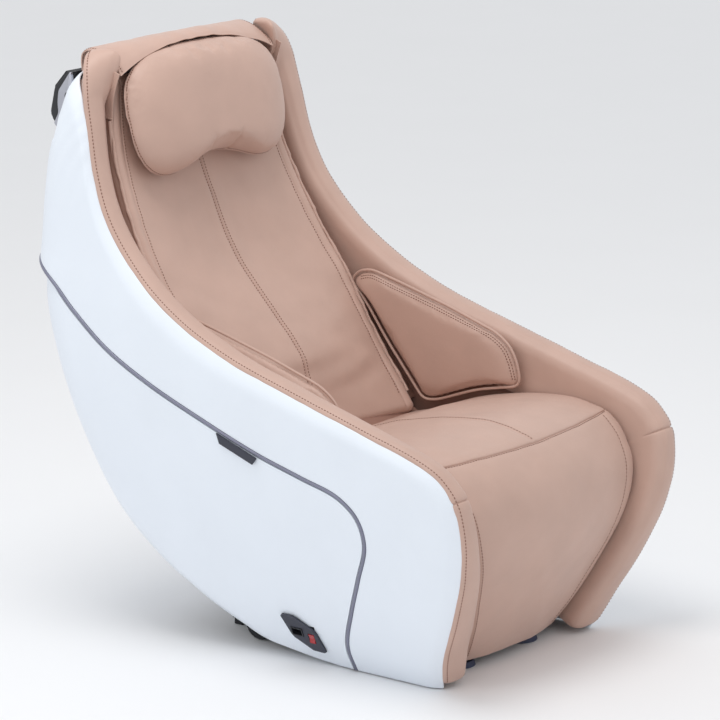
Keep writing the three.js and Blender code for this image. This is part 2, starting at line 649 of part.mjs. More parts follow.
// The massage carriage: plate, cheeks and rail shoes; two motors; shaft, arms and rollers.
const KNEAD_SHAFT = 8;
const cheeks = SIDES.map(([, side]) => cut(
  block([side * 126 - 3, CARRIAGE_AT - 42, -13], [side * 126 + 3, CARRIAGE_AT + 42, 14]),
  barX(KNEAD_SHAFT + BEARING_PLAY, side * 110, side * 140, CARRIAGE_AT, 0, 24)));
const shoes = SIDES.flatMap(([, side]) => [-50, 50].map((at) => block(
  [side * 142 - 6, CARRIAGE_AT + at - 10, -16], [side * 142 + 6, CARRIAGE_AT + at + 10, 8])));
const carriagePlate = cut(
  block([-148, CARRIAGE_AT - 60, -19], [148, CARRIAGE_AT + 60, -12]),
  ...[-56, 56].map((x) => block([x - 12, CARRIAGE_AT - 26, -25], [x + 12, CARRIAGE_AT + 26, 0])));
add('carriage_frame', joined(carriagePlate, ...cheeks, ...shoes), steel, railFrame);
const travelMotor = cut(
  block([-16, CARRIAGE_AT + 30, -48], [86, CARRIAGE_AT + 58, -19.4]),
  new THREE.CylinderGeometry(6.8, 6.8, 60, 16).translate(0, CARRIAGE_AT + 44, SCREW_BACK));
add('travel_motor', travelMotor, blackPlastic, railFrame);
const kneadingMotor = block([20, CARRIAGE_AT - 58, -52], [110, CARRIAGE_AT - 12, -19.4]);
add('kneading_motor', kneadingMotor, blackPlastic, railFrame);

add('kneading_shaft', barX(KNEAD_SHAFT, -134, 134, CARRIAGE_AT, 0, 20), zinc, railFrame);
for (const [word, side] of SIDES) {
  const hub = ringX(KNEAD_SHAFT + 1, 18, side * 50, side * 62, CARRIAGE_AT, 0);
  const links = [-1, 1].map((end) => barYZ(7, side * 56,
    { y: CARRIAGE_AT + end * 13, z: 5 }, { y: CARRIAGE_AT + end * ROLLER.reach, z: ROLLER.proud }));
  const pins = [-1, 1].map(
    (end) => barX(4, side * 52, side * 92, CARRIAGE_AT + end * ROLLER.reach, ROLLER.proud, 12));
  add(`massage_arm_${word}`, joined(hub, ...links, ...pins), steel, railFrame);
  for (const [place, end] of [['lower', -1], ['upper', 1]]) {
    const y = CARRIAGE_AT + end * ROLLER.reach;
    const wheel = ringX(
      ROLLER.bore, ROLLER.radius, side * 65, side * (65 + ROLLER.width), y, ROLLER.proud, 24, 6);
    add(`roller_${place}_${word}`, wheel, rollerNylon, railFrame);
  }
}

// Air pump for the cushions, control unit and the leg rest's gear motor, on the seat frame.
add('air_pump', joined(
  block([-176, -292, 196], [-66, -210, 261]),
  barX(24, -190, -60, -251, 226, 16)), blackPlastic);
add('control_unit', block([40, -300, 206], [186, -204, 261]), charcoal);
add('leg_rest_motor', joined(
  block([60, -336, 288], [112, -300, 326]),
  barX(17, 20, 60, -318, 307, 16)), blackPlastic);

// ------------------------------------------------------------------ tilt jack
const jackAlong = new THREE.Vector2(JACK_TOP.y - JACK_BASE.y, JACK_TOP.z - JACK_BASE.z);
const JACK_LENGTH = jackAlong.length();
const jackFrame = new THREE.Group();
jackFrame.position.set(0, JACK_BASE.y, JACK_BASE.z);
jackFrame.rotation.x = Math.atan2(jackAlong.y, jackAlong.x);
chair.add(jackFrame);
// In this group y runs from the lower pivot to the upper one.
const tubeWall = [[9.5, 262], [9.5, 150], [0, 150], [0, 20], [17, 20], [17, 262], [9.5, 262]];
const jackTube = new THREE.LatheGeometry(tubeWall.map(([r, h]) => new THREE.Vector2(r, h)), 20);
add('jack_body', joined(
  jackTube, ringX(JACK_PIN + BEARING_PLAY, 12, -8, 8, 0, 0, 20), block([-8, 10, -8], [8, 24, 8])),
  blackPlastic, jackFrame);
const rodBar = new THREE.CylinderGeometry(8, 8, 120, 16).translate(0, 242, 0);
add('jack_rod', joined(rodBar, ringX(JACK_PIN + 5.5, 17, -8, 8, JACK_LENGTH, 0, 20)), zinc, jackFrame);

// -------------------------------------------------------------------- the base
const shaftHole = { y: TILT_AXIS.y, z: TILT_AXIS.z, radius: TILT_SHAFT + 0.3 };

function baseFrame() {
  const pieces = [
    block([-212, -90, 12], [212, -60, 37]),
    block([-171, 36, 12], [171, 60, 37]),
    block([-150, -336, 10], [150, -312, 21]),
    block([-152, 128, 12], [152, 150, 30]),
  ];
  for (const [, side] of SIDES) {
    const x = side * 140;
    pieces.push(block([x - 12, -336, 10], [x + 12, -270, 21]));
    pieces.push(block([x - 12, -285, 12], [x + 12, 150, 30]));
    pieces.push(plateX([[112, 28], [150, 28], [140, 56], [122, 56]], side * 10, side * 16));
  }
  pieces.push(barX(JACK_PIN, -16, 16, JACK_BASE.y, JACK_BASE.z, 16));
  return joined(...pieces);
}
add('base_frame', baseFrame(), steel);
for (const [word, side] of SIDES) {
  const post = [[-110, 37.4], [10, 37.4], [-18, 225], [-32, 240], [-68, 240], [-82, 225]];
  add(`pivot_post_${word}`, plateX(post, side * 196, side * 204, [shaftHole]), steel);
  const foot = new THREE.CylinderGeometry(30, 34, 9.6, 24).rotateX(Math.PI / 2);
  add(`front_foot_${word}`, foot.translate(side * 95, -316, 4.8), rubber);
  const glide = new THREE.CylinderGeometry(11, 13, 11.6, 16).rotateX(Math.PI / 2);
  add(`middle_glide_${word}`, glide.translate(side * 198, -75, 5.8), rubber);
  add(`wheel_axle_${word}`, barX(WHEEL.axle, side * 171.4, side * 208, WHEEL.y, WHEEL.z, 16), zinc);
  add(`transport_wheel_${word}`, ringX(
    WHEEL.bore, WHEEL.radius, side * (WHEEL.x - WHEEL.width / 2), side * (WHEEL.x + WHEEL.width / 2),
    WHEEL.y, WHEEL.z, 32, 3), rubber);
}
add('rear_foot', block([-150, 130, 0], [150, 148, 11.6]), rubber);
add('tilt_shaft', barX(TILT_SHAFT, -224, 224, TILT_AXIS.y, TILT_AXIS.z, 24), zinc);

export default chair;
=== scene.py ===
"""Looks of a compact massage chair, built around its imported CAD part. Sizes are in millimetres."""
import json
import math
import bmesh
import bpy
import numpy as np
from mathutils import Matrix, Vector
from mathutils.bvhtree import BVHTree


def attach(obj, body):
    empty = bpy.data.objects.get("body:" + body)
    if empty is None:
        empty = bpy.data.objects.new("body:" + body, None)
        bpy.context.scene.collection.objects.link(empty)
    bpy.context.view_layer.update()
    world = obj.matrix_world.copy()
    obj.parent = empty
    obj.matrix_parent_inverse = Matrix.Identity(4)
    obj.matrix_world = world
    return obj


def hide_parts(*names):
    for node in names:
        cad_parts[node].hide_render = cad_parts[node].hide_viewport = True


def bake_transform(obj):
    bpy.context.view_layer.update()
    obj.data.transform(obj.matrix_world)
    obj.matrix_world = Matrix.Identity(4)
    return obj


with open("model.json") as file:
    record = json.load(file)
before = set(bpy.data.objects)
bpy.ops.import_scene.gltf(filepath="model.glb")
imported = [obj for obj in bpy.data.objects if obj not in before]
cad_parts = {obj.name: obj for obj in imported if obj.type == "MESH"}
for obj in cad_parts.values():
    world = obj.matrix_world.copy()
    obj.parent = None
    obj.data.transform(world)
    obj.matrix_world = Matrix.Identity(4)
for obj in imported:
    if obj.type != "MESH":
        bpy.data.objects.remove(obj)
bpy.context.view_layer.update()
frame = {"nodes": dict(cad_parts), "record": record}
MM = 0.001
SIDES = (("right", -1), ("left", 1))


# ---- curves
def profile(pairs):
    """A smooth function of one variable through pairs of (where, value)."""
    t, v = (np.array([p[k] for p in pairs], float) for k in (0, 1))
    last = len(t) - 1
    ahead, behind = np.minimum(np.arange(last + 1) + 1, last), np.maximum(np.arange(last + 1) - 1, 0)
    slope = (v[ahead] - v[behind]) / (t[ahead] - t[behind])

    def value(x):
        x = np.clip(np.asarray(x, float), t[0], t[last])
        i = np.clip(np.searchsorted(t, x, side="right") - 1, 0, last - 1)
        width, rise = t[i + 1] - t[i], v[i + 1] - v[i]
        u = (x - t[i]) / width
        bend = u * (1 - u) * ((1 - u) * (slope[i] * width - rise) + u * (rise - slope[i + 1] * width))
        return v[i] + u * rise + bend
    return value


def fine_curve(points, per_piece=40):
    """Many points along a centripetal Catmull-Rom curve through points of any dimension."""
    p = np.array(points, float)
    p = np.vstack([2 * p[0] - p[1], p, 2 * p[-1] - p[-2]])
    out = []
    for a, b, c, d in zip(p, p[1:], p[2:], p[3:]):
        ta, tb, tc = (max(np.linalg.norm(q[:2] - r[:2]), 1e-6) ** 0.5 for q, r in ((b, a), (c, b), (d, c)))
        m0 = ((b - a) / ta - (c - a) / (ta + tb) + (c - b) / tb) * tb
        m1 = ((c - b) / tb - (d - b) / (tb + tc) + (d - c) / tc) * tb
        u = np.linspace(0, 1, per_piece, endpoint=False)[:, None]
        out.append(b + m0 * u + (-3 * b + 3 * c - 2 * m0 - m1) * u ** 2 + (2 * b - 2 * c + m0 + m1) * u ** 3)
    return np.vstack([*out, p[-2:-1]])


def lengths(line, dims=2):
    steps = np.linalg.norm(np.diff(line[:, :dims], axis=0), axis=1)
    return np.concatenate([[0], np.cumsum(steps)])


def at_lengths(line, where, dims=2):
    run = lengths(line, dims)
    return np.stack([np.interp(where, run, line[:, k]) for k in range(line.shape[1])], 1)


def even(line, count, dims=2):
    return at_lengths(line, np.linspace(0, lengths(line, dims)[-1], count), dims)


def left_of(line):
    along = np.gradient(line, axis=0)
    along /= np.linalg.norm(along, axis=1)[:, None]
    return np.stack([-along[:, 1], along[:, 0]], 1)


def clustered(total, step, seams, offsets=(-7, -4, -2.2, -1.1, -0.4, 0.4, 1.1, 2.2, 4, 7)):
    """Places along a length: even steps, with fine ones on both sides of each seam."""
    places = [x for x in np.linspace(0, total, max(3, int(total / step) + 1))
              if all(abs(x - s) > 8 for s in seams) or x in (0, total)]
    places += [s + o for s in seams for o in offsets if 0 < s + o < total]
    return np.array(sorted(places))


def ridge(distance, width):
    return np.exp(-(distance / width) ** 2)


def groove(distance, depth, width):
    return -depth * ridge(distance, width)


def closed(outline, extra=1):
    """An outline with its first points repeated at its end."""
    return np.vstack([outline, outline[:extra]])


def beside(x, line):
    """A line of the side view, placed at a distance across."""
    return np.column_stack([np.broadcast_to(x, (len(line),)), line])


# ---- meshes
def new_piece(name, shape, body="chair", slot="beige_leatherette", replaces=(), finish=None,
              smooth_angle=42):
    """A mesh of points and faces, dressed for its slot. A piece without a body is placed later."""
    points, faces = shape
    mesh = bpy.data.meshes.new(name)
    mesh.from_pydata((np.asarray(points, float) * MM).tolist(), [], [tuple(map(int, f)) for f in faces])
    bm = bmesh.new()
    bm.from_mesh(mesh)
    bmesh.ops.recalc_face_normals(bm, faces=bm.faces)
    for face in bm.faces:
        face.smooth = True
    limit = math.radians(smooth_angle)
    for edge in bm.edges:
        if len(edge.link_faces) == 2 and edge.calc_face_angle(0) > limit:
            edge.smooth = False
    bm.to_mesh(mesh)
    bm.free()
    piece = bpy.data.objects.new(name, mesh)
    bpy.context.scene.collection.objects.link(piece)
    mesh.materials.append(finish or LOOK_OF[slot])
    if body:
        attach(piece, body)
    if replaces:
        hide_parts(*replaces)
    return piece


def white_piece(name, shape, node=None):
    return new_piece(name, shape, slot="white_leatherette", replaces=[node] if node else ())


def grid_faces(rows, cols, start=0, wrap=False):
    i, j = np.meshgrid(np.arange(rows - 1), np.arange(cols if wrap else cols - 1), indexing="ij")
    a = start + i * cols + j
    b = start + i * cols + (j + 1) % cols
    return np.stack([a, a + cols, b + cols, b], -1).reshape(-1, 4).tolist()


def loft(sections):
    """A closed body through closed sections, sections[row][point], with its two ends capped."""
    s = np.asarray(sections, float)
    rows, cols = s.shape[:2]
    points = np.vstack([s.reshape(-1, 3), s[0].mean(0), s[-1].mean(0)])
    faces = grid_faces(rows, cols, wrap=True)
    for first, centre in ((0, rows * cols), ((rows - 1) * cols, rows * cols + 1)):
        faces += [(first + j, first + (j + 1) % cols, centre) for j in range(cols)]
    return points, faces


def plate_between(front, back):
    """A closed plate between two equal grids of points."""
    return loft_flat_ends(np.concatenate([front, back[:, ::-1]], 1))


def loft_flat_ends(s):
    """A closed body through rings made of a front row and a reversed back row, ends closed with quads."""
    rows, cols = s.shape[:2]
    half = cols // 2
    faces = grid_faces(rows, cols, wrap=True)
    for first in (0, (rows - 1) * cols):
        last = first + cols - 1
        faces += [(first + j, first + j + 1, last - 1 - j, last - j) for j in range(half - 1)]
    return s.reshape(-1, 3), faces


def tube(path, radius, sides=8, squash=1.0):
    """A round cord through a row of points, closed at both ends."""
    p = np.asarray(path, float)
    along = np.gradient(p, axis=0)
    along /= np.linalg.norm(along, axis=1)[:, None]
    side = np.cross(along[0], (0.3, 0.2, 1.0))
    rings = []
    turn = np.linspace(0, 2 * np.pi, sides, endpoint=False)
    r = np.broadcast_to(np.asarray(radius, float), (len(p),))
    for q, t, radius_here in zip(p, along, r):
        side = side - t * side.dot(t)
        side /= np.linalg.norm(side)
        up = np.cross(t, side)
        rings.append(q + radius_here * (np.cos(turn)[:, None] * side + squash * np.sin(turn)[:, None] * up))
    return loft(rings)


def merged(parts):
    points, faces, start = [], [], 0
    for p, f in parts:
        points.append(np.asarray(p, float))
        faces += [tuple(i + start for i in face) for face in f]
        start += len(p)
    return np.vstack(points), faces


def rounded(outline, radius, steps=5):
    """A closed outline with its corners rounded."""
    p = np.array(outline, float)
    out = []
    for before, here, after in zip(np.roll(p, 1, 0), p, np.roll(p, -1, 0)):
        a, b = before - here, after - here
        reach = min(radius, 0.45 * np.linalg.norm(a), 0.45 * np.linalg.norm(b))
        start, end = here + a / np.linalg.norm(a) * reach, here + b / np.linalg.norm(b) * reach
        for t in np.linspace(0, 1, steps):
            out.append((1 - t) ** 2 * start + 2 * t * (1 - t) * here + t ** 2 * end)
    return np.array(out)


# ---- looks
def look(name, color, roughness, metallic=0.0, grain=None, mottle=0.03, mottle_scale=18, streak=None,
         coat=0.0, sheen=0.0, wrinkle=None, specular=0.5):
    """A procedural finish: its colour varies a little, and it has grain, brush marks and soft wrinkles."""
    mat = bpy.data.materials.new(name)
    mat.use_nodes = True
    tree = mat.node_tree
    nodes, links = tree.nodes, tree.links
    shader = nodes["Principled BSDF"]
    for key, value in (("Metallic", metallic), ("Coat Weight", coat), ("Coat Roughness", 0.25),
                       ("Sheen Weight", sheen), ("Sheen Roughness", 0.45), ("Specular IOR Level", specular)):
        shader.inputs[key].default_value = value
    place = nodes.new("ShaderNodeTexCoord")

    def noise(scale, detail=2.0, stretch=None):
        n = nodes.new("ShaderNodeTexNoise")
        n.inputs["Scale"].default_value = scale
        n.inputs["Detail"].default_value = detail
        if stretch:
            m = nodes.new("ShaderNodeMapping")
            m.inputs["Scale"].default_value = stretch
            links.new(place.outputs["Object"], m.inputs["Vector"])
            links.new(m.outputs["Vector"], n.inputs["Vector"])
        else:
            links.new(place.outputs["Object"], n.inputs["Vector"])
        return n.outputs["Fac"]

    ramp = nodes.new("ShaderNodeValToRGB")
    for stop, at, share in zip(ramp.color_ramp.elements, (0.3, 0.7), (1 - mottle, 1 + mottle)):
        stop.position = at
        stop.color = (*np.minimum(np.array(color) * share, 1), 1)
    links.new(noise(mottle_scale, 4.0), ramp.inputs["Fac"])
    links.new(ramp.outputs["Color"], shader.inputs["Base Color"])

    rough = nodes.new("ShaderNodeMapRange")
    rough.inputs["To Min"].default_value = max(roughness - 0.06, 0.02)
    rough.inputs["To Max"].default_value = min(roughness + 0.06, 1.0)
    links.new(noise(mottle_scale * 7, 3.0), rough.inputs["Value"])
    links.new(rough.outputs["Result"], shader.inputs["Roughness"])

    normal = None

    def bump(height, strength, distance):
        nonlocal normal
        b = nodes.new("ShaderNodeBump")
        b.inputs["Strength"].default_value = strength
        b.inputs["Distance"].default_value = distance
        links.new(height, b.inputs["Height"])
        if normal is not None:
            links.new(normal, b.inputs["Normal"])
        normal = b.outputs["Normal"]

    if wrinkle:
        scale, distance, stretch = wrinkle
        bump(noise(scale, 3.0, stretch), 0.6, distance)
    if grain:
        scale, distance = grain
        cells = nodes.new("ShaderNodeTexVoronoi")
        cells.feature = "SMOOTH_F1"
        cells.inputs["Scale"].default_value = scale
        links.new(place.outputs["Object"], cells.inputs["Vector"])
        bump(cells.outputs["Distance"], 0.5, distance)
        bump(noise(scale * 2.3, 2.0), 0.25, distance * 0.5)
    if streak:
        bump(noise(streak[0], 2.0, streak[1]), 0.35, streak[2])
    if normal is not None:
        links.new(normal, shader.inputs["Normal"])
    return mat


def srgb(r, g, b):
    return tuple(((x / 255 + 0.055) / 1.055) ** 2.4 if x > 10 else x / 255 / 12.92 for x in (r, g, b))


BEIGE = look("beige_leatherette", srgb(195, 163, 149), 0.47, grain=(760, 0.00022), mottle=0.035,
             mottle_scale=14, sheen=0.10, wrinkle=(22, 0.0016, None), specular=0.42)
# The stitches are real thread, but their dark brown paints the shade in the stitch holes along the seams.
SHADE_DARKENED_THREAD = look("thread", srgb(122, 82, 68), 0.7, mottle=0.08, mottle_scale=300,
              streak=(900, (1, 1, 3), 0.0002))
WHITE = look("white_leatherette", srgb(231, 237, 245), 0.42, grain=(900, 0.00012), mottle=0.012,
             mottle_scale=9, wrinkle=(14, 0.0011, (1, 2.2, 0.8)), specular=0.45)
TRIM_GREY = look("trim_grey", srgb(128, 129, 146), 0.3, metallic=0.35, mottle=0.04,
                 streak=(600, (1, 1, 1), 0.0001))
CHARCOAL = look("charcoal_plastic", srgb(52, 54, 66), 0.5, grain=(1500, 0.00012), mottle=0.06)
BLACK = look("black_plastic", srgb(28, 29, 34), 0.42, grain=(1700, 0.0001), mottle=0.08)
RED = look("switch_red", srgb(168, 18, 26), 0.22, coat=0.5, mottle=0.05)
ALUMINIUM = look("brushed_aluminium", srgb(188, 189, 198), 0.3, metallic=0.95, mottle=0.04,
                 streak=(240, (40, 1, 1), 0.00025))
STEEL = look("frame_steel", srgb(58, 61, 67), 0.45, metallic=0.35, grain=(1200, 0.00015), mottle=0.08)
ZINC = look("zinc_steel", srgb(172, 175, 180), 0.34, metallic=0.9, mottle=0.08, mottle_scale=40,
            streak=(300, (20, 1, 1), 0.0002))
NYLON = look("roller_nylon", srgb(216, 202, 172), 0.45, mottle=0.04, grain=(600, 0.0001))
RUBBER = look("rubber", srgb(34, 34, 40), 0.8, mottle=0.1, grain=(1400, 0.0002))
BLUE_RUBBER = look("foot_rubber", srgb(48, 54, 82), 0.6, mottle=0.08, grain=(1400, 0.0002))
LOOK_OF = {
    "white_leatherette": WHITE, "beige_leatherette": BEIGE, "trim_grey": TRIM_GREY,
    "charcoal_plastic": CHARCOAL, "black_plastic": BLACK, "switch_red": RED,
    "handle_aluminium": ALUMINIUM, "frame_steel": STEEL, "zinc_steel": ZINC, "roller_nylon": NYLON,
    "rubber": RUBBER,
}

# ---- the outer form
halfWidth = profile([
    (0, 236), (45, 262), (100, 284), (200, 313), (300, 334), (400, 345), (500, 349), (600, 344),
    (700, 333), (800, 324), (900, 316), (960, 311), (1020, 303), (1060, 292)])
upperRear = profile([
    (640, 494), (700, 490), (780, 488), (840, 483), (890, 473), (950, 453), (1004, 433), (1060, 418)])
lowerRear = profile([
    (2, -150), (10, -75), (23, 0), (46, 48), (92, 135), (150, 225), (218, 300), (300, 355),
    (371, 390), (431, 415), (507, 442), (592, 467), (660, 474), (700, 476)])
lowerCorner = profile([(0, 24), (80, 36), (200, 70), (320, 90)])
innerWidth = profile([
    (2, 160), (28, 169), (95, 197), (161, 223), (224, 245), (273, 262), (316, 273), (357, 281),
    (406, 286), (500, 285), (600, 277), (700, 268), (800, 260), (900, 250), (960, 240), (1020, 226),
    (1060, 215)])
SHELL, RIM_ROLL, RIM_ROLL_WIDTH, TRIM_HALF, UPPER_CORNER = 5, 10, 30, 3, 90
FLOOR_CLEAR = 1.5
ARM_EDGE = [
    (-382, 2), (-410, 72), (-450, 155), (-481, 240), (-490, 310), (-479, 370), (-448, 408), (-398, 432),
    (-295, 462), (-125, 510), (5, 548), (125, 600), (220, 665), (300, 755), (335, 835), (357, 930)]
RIM = [*ARM_EDGE, (380, 978), (425, 1003), (473, 1006)]
WING = [*ARM_EDGE, (371, 983), (392, 1020), (420, 1038), (452, 1037)]
TRIM = [
    (-200, 2), (-204, 54), (-232, 125), (-262, 195), (-288, 265), (-278, 312), (-240, 345), (-158, 369),
    (-65, 395), (66, 442), (180, 487), (278, 536), (354, 591), (420, 645), (486, 672), (545, 685)]


def upperCorner(z):
    return np.full(np.shape(z), float(UPPER_CORNER))


def form(side, s, z, depth=0.0, rear=upperRear, corner=upperCorner):
    """Points of the outer form from the side, the way round, the height and the depth under the surface."""
    s, z, depth = np.broadcast_arrays(np.asarray(s, float), np.asarray(z, float), np.asarray(depth, float))
    half, radius = halfWidth(z) - depth, corner(z)
    bend = rear(z) - radius
    turn = np.clip((s - bend) / radius, 0, np.pi / 2)
    r = radius - depth
    x = np.where(s <= bend, half, half - r + r * np.cos(turn))
    y = np.where(s <= bend, s, bend + r * np.sin(turn))
    return np.stack([side * x, y, z], -1)


# ---- white shells
def shell_panel(upper, lower, side, rear, corner, rolled):
    """A moulded panel between two borders of the outer form, with soft edges."""
    width = np.linalg.norm(lower - upper, axis=1)
    near = np.array([0, 0.8, 2, 4, 7, 11, 16, 22, 29, 37] if rolled else [0.3, 1.0, 2.5, 6, 12, 20, 30])
    share = np.linspace(0, 1, 30)[1:]
    sections = []
    for i, w in enumerate(width):
        start = min(near[-1], 0.3 * w)
        offsets = np.concatenate([near * start / near[-1], start + share * (w - 3.0 - start)])
        lift = RIM_ROLL if rolled else 0.0
        roll = lift * np.clip(1 - offsets / RIM_ROLL_WIDTH, 0, 1) ** 2
        creases = 0.0
        if rolled:
            s_here, z_here = (upper[i] + (lower[i] - upper[i]) * (offsets / w)[:, None]).T
            shade = np.clip((z_here - 760) / 90, 0, 1) * np.clip((1010 - z_here) / 60, 0, 1)
            lean = (0.83 * s_here + 0.56 * z_here) / 4.6
            creases = 0.55 * shade * np.sin(lean + 2.2 * np.sin(z_here / 37))
        pairs = list(zip(offsets, roll + creases))
        pairs += [(w - 1.2, 0.3), (w - 0.3, 1.0), (w, 2.2), (w, SHELL), (w - 6, SHELL), (0.6 * w, SHELL)]
        pairs += [(0.3 * w, SHELL + lift * max(0, 1 - 0.3 * w / RIM_ROLL_WIDTH) ** 2)]
        pairs += [(min(14, 0.2 * w), SHELL + lift * 0.28), (4, SHELL + lift * 0.75)]
        if rolled:
            pairs += [(0.5, SHELL + lift), (-1.2, SHELL + lift - 1.6), (-1.5, lift + 1.6)]
        else:
            pairs += [(0.2, SHELL), (-0.2, 2.5), (0.0, 1.0)]
        t = np.array([p[0] for p in pairs]) / w
        depth = np.array([p[1] for p in pairs])
        line = upper[i] + (lower[i] - upper[i]) * t[:, None]
        sections.append(form(side, line[:, 0], np.maximum(line[:, 1], FLOOR_CLEAR), depth, rear, corner))
    return loft(sections)


def cut_window(piece, low, high):
    """Cuts an opening through a panel with a box."""
    corners = [(x, y, z) for x in (low[0], high[0]) for y in (low[1], high[1]) for z in (low[2], high[2])]
    box_faces = [(0, 1, 3, 2), (4, 6, 7, 5), (0, 4, 5, 1), (2, 3, 7, 6), (0, 2, 6, 4), (1, 5, 7, 3)]
    mesh = bpy.data.meshes.new("cutter")
    mesh.from_pydata([tuple(c * MM for c in p) for p in corners], [], box_faces)
    cutter = bpy.data.objects.new("cutter", mesh)
    bpy.context.scene.collection.objects.link(cutter)
    cut = piece.modifiers.new("window", "BOOLEAN")
    cut.operation = "DIFFERENCE"
    cut.solver = "EXACT"
    cut.object = cutter
    bpy.context.view_layer.objects.active = piece
    bpy.context.view_layer.update()
    bpy.ops.object.modifier_apply(modifier=cut.name)
    bpy.data.objects.remove(cutter)


# The rear corners are notched for the ends of the carrying handle.
NOTCH_X, NOTCH_Y, NOTCH_Z = 236.2, 437.0, 885.0


def notch_box(side):
    near, far = sorted((side * NOTCH_X, side * 330))
    return (near, NOTCH_Y, NOTCH_Z), (far, 530, 1020)


STATIONS = 220
rim = even(fine_curve(RIM), STATIONS)
trim_line = even(fine_curve(TRIM), STATIONS)
LOWER_PANEL_TOP = 683


def lower_seam(z):
    """How far round the lower corner the belly panel starts."""
    return float(lowerRear(z) + lowerCorner(z) * (math.pi / 2 - 1))


LOWER_TOP = [*TRIM[:-2], (468, 668), (lower_seam(LOWER_PANEL_TOP) - 1, LOWER_PANEL_TOP)]
LOWER_EDGE = [(-186, 2), *((lower_seam(z), z) for z in (
    2, 10, 23, 46, 92, 150, 218, 300, 371, 431, 507, 592, 640, LOWER_PANEL_TOP))]
lower_top = even(fine_curve(LOWER_TOP), STATIONS)
lower_top += left_of(lower_top) * -(TRIM_HALF + 1.6)
lower_edge = even(fine_curve(LOWER_EDGE), STATIONS)
border = trim_line + left_of(trim_line) * (TRIM_HALF + 0.5)
# The bead over the joint between the panels, half round and a little proud: offset and depth.
BEAD = np.array([
    (-TRIM_HALF, 4), (-TRIM_HALF, 0.2), (-2.3, -0.7), (-1.1, -1.3), (0, -1.5), (1.1, -1.3), (2.3, -0.7),
    (TRIM_HALF, 0.2), (TRIM_HALF, 4)])
POWER_OPENING = (-292, -137, 44), (-238, -85, 78)

for word, side in SIDES:
    shape = shell_panel(rim, border, side, upperRear, upperCorner, True)
    shell = white_piece(f"side_skin_{word}", shape, f"side_shell_{word}")
    cut_window(shell, *notch_box(side))
    shape = shell_panel(lower_top, lower_edge, side, lowerRear, lowerCorner, False)
    lower = white_piece(f"lower_skin_{word}", shape, f"lower_panel_{word}")
    if word == "right":
        cut_window(lower, *POWER_OPENING)
    sections = []
    for p, q in zip(trim_line, left_of(trim_line)):
        s_bead, z_bead = p[0] + q[0] * BEAD[:, 0], np.maximum(p[1] + q[1] * BEAD[:, 0], FLOOR_CLEAR)
        sections.append(form(side, s_bead, z_bead, BEAD[:, 1]))
    new_piece(f"trim_bead_{word}", loft(sections), slot="trim_grey", replaces=[f"trim_strip_{word}"])


EDGE_SINK = 1.6


def back_panel(name, heights, rear, corner, node, pocket=None, edge=None):
    """The panel across the back; an edge line carries it round the corners to the side panels."""
    columns = np.linspace(-1, 1, 61)
    to_edge = 1 - np.abs(columns)
    front, back = [], []
    for z in heights:
        y = np.full(columns.shape, float(rear(z)))
        if pocket:
            y = y - pocket(z) * np.clip(to_edge / 0.32, 0, 1) ** 1.2
        if not edge:
            y = y - EDGE_SINK * np.clip(1 - to_edge / 0.03, 0, 1) ** 2
        x = columns * (halfWidth(z) - corner(z) - 1)
        outer, inner = (np.stack([x, y - d, np.full(columns.shape, z)], 1) for d in (0, SHELL))
        if edge:
            whole = float(rear(z) - corner(z) * (1 - math.pi / 2))
            s = np.linspace(edge(z), whole - 2, 9)
            sink = EDGE_SINK * np.clip(1 - (s - s[0]) / 5, 0, 1) ** 2
            outer, inner = (np.vstack([form(-1, s, z, d, rear, corner), middle,
                                       form(1, s, z, d, rear, corner)[::-1]])
                            for middle, d in ((outer, sink), (inner, SHELL)))
        front.append(outer)
        back.append(inner)
    return white_piece(name, plate_between(np.array(front), np.array(back)), node)


def side_panel_edge(z):
    """Where the side panel ends round the rear corner."""
    top, low = rim[-1], border[-1]
    return float(top[0] + (low[0] - top[0]) * (top[1] - z) / (top[1] - low[1])) + 1.5


rear_skin = back_panel("rear_skin", np.linspace(692, 1005, 60), upperRear, upperCorner, "rear_shell",
                       lambda z: 16 * max(0, 1 - ((z - 945) / 62) ** 2), side_panel_edge)
for _, side in SIDES:
    cut_window(rear_skin, *notch_box(side))
back_panel("belly_skin", np.linspace(150, 681, 90), lowerRear, lowerCorner, "belly_cover")


def corner_centre(z):
    """Across and along, the middle of the rear corner's arc at a height."""
    return float(halfWidth(z)) - UPPER_CORNER, float(upperRear(z)) - UPPER_CORNER


def corner_reach(place, centre):
    """How far the rear corner's arc reaches past its middle, at a place along the other axis."""
    return UPPER_CORNER * math.sqrt(max(1 - ((place - centre) / UPPER_CORNER) ** 2, 0))


# Each notch has a thin wall across it and a floor, both just inside the shell.
NOTCH_PLATE, NOTCH_INSET = 2.4, 1.2
for word, side in SIDES:
    rows = []
    for z in np.linspace(NOTCH_Z - 1, 992, 30):
        across, along = corner_centre(z)
        reach = max(across + corner_reach(NOTCH_Y, along) - NOTCH_INSET, NOTCH_X + 1)
        rows.append([(side * x, NOTCH_Y - 0.4, z) for x in np.linspace(NOTCH_X + 0.3, reach, 16)])
    wall = np.array(rows)
    white_piece(f"notch_wall_{word}", plate_between(wall, wall - (0, NOTCH_PLATE, 0)))
    across, along = corner_centre(NOTCH_Z)
    rows = []
    for x in np.linspace(NOTCH_X + 0.3, across + corner_reach(NOTCH_Y, along) - 1.5, 20):
        reach = max(along + corner_reach(x, across) - NOTCH_INSET, NOTCH_Y - 1)
        rows.append([(side * x, y, NOTCH_Z - 0.3) for y in np.linspace(NOTCH_Y - 2, reach, 14)])
    level = np.array(rows)
    white_piece(f"notch_floor_{word}", plate_between(level, level - (0, 0, NOTCH_PLATE)))


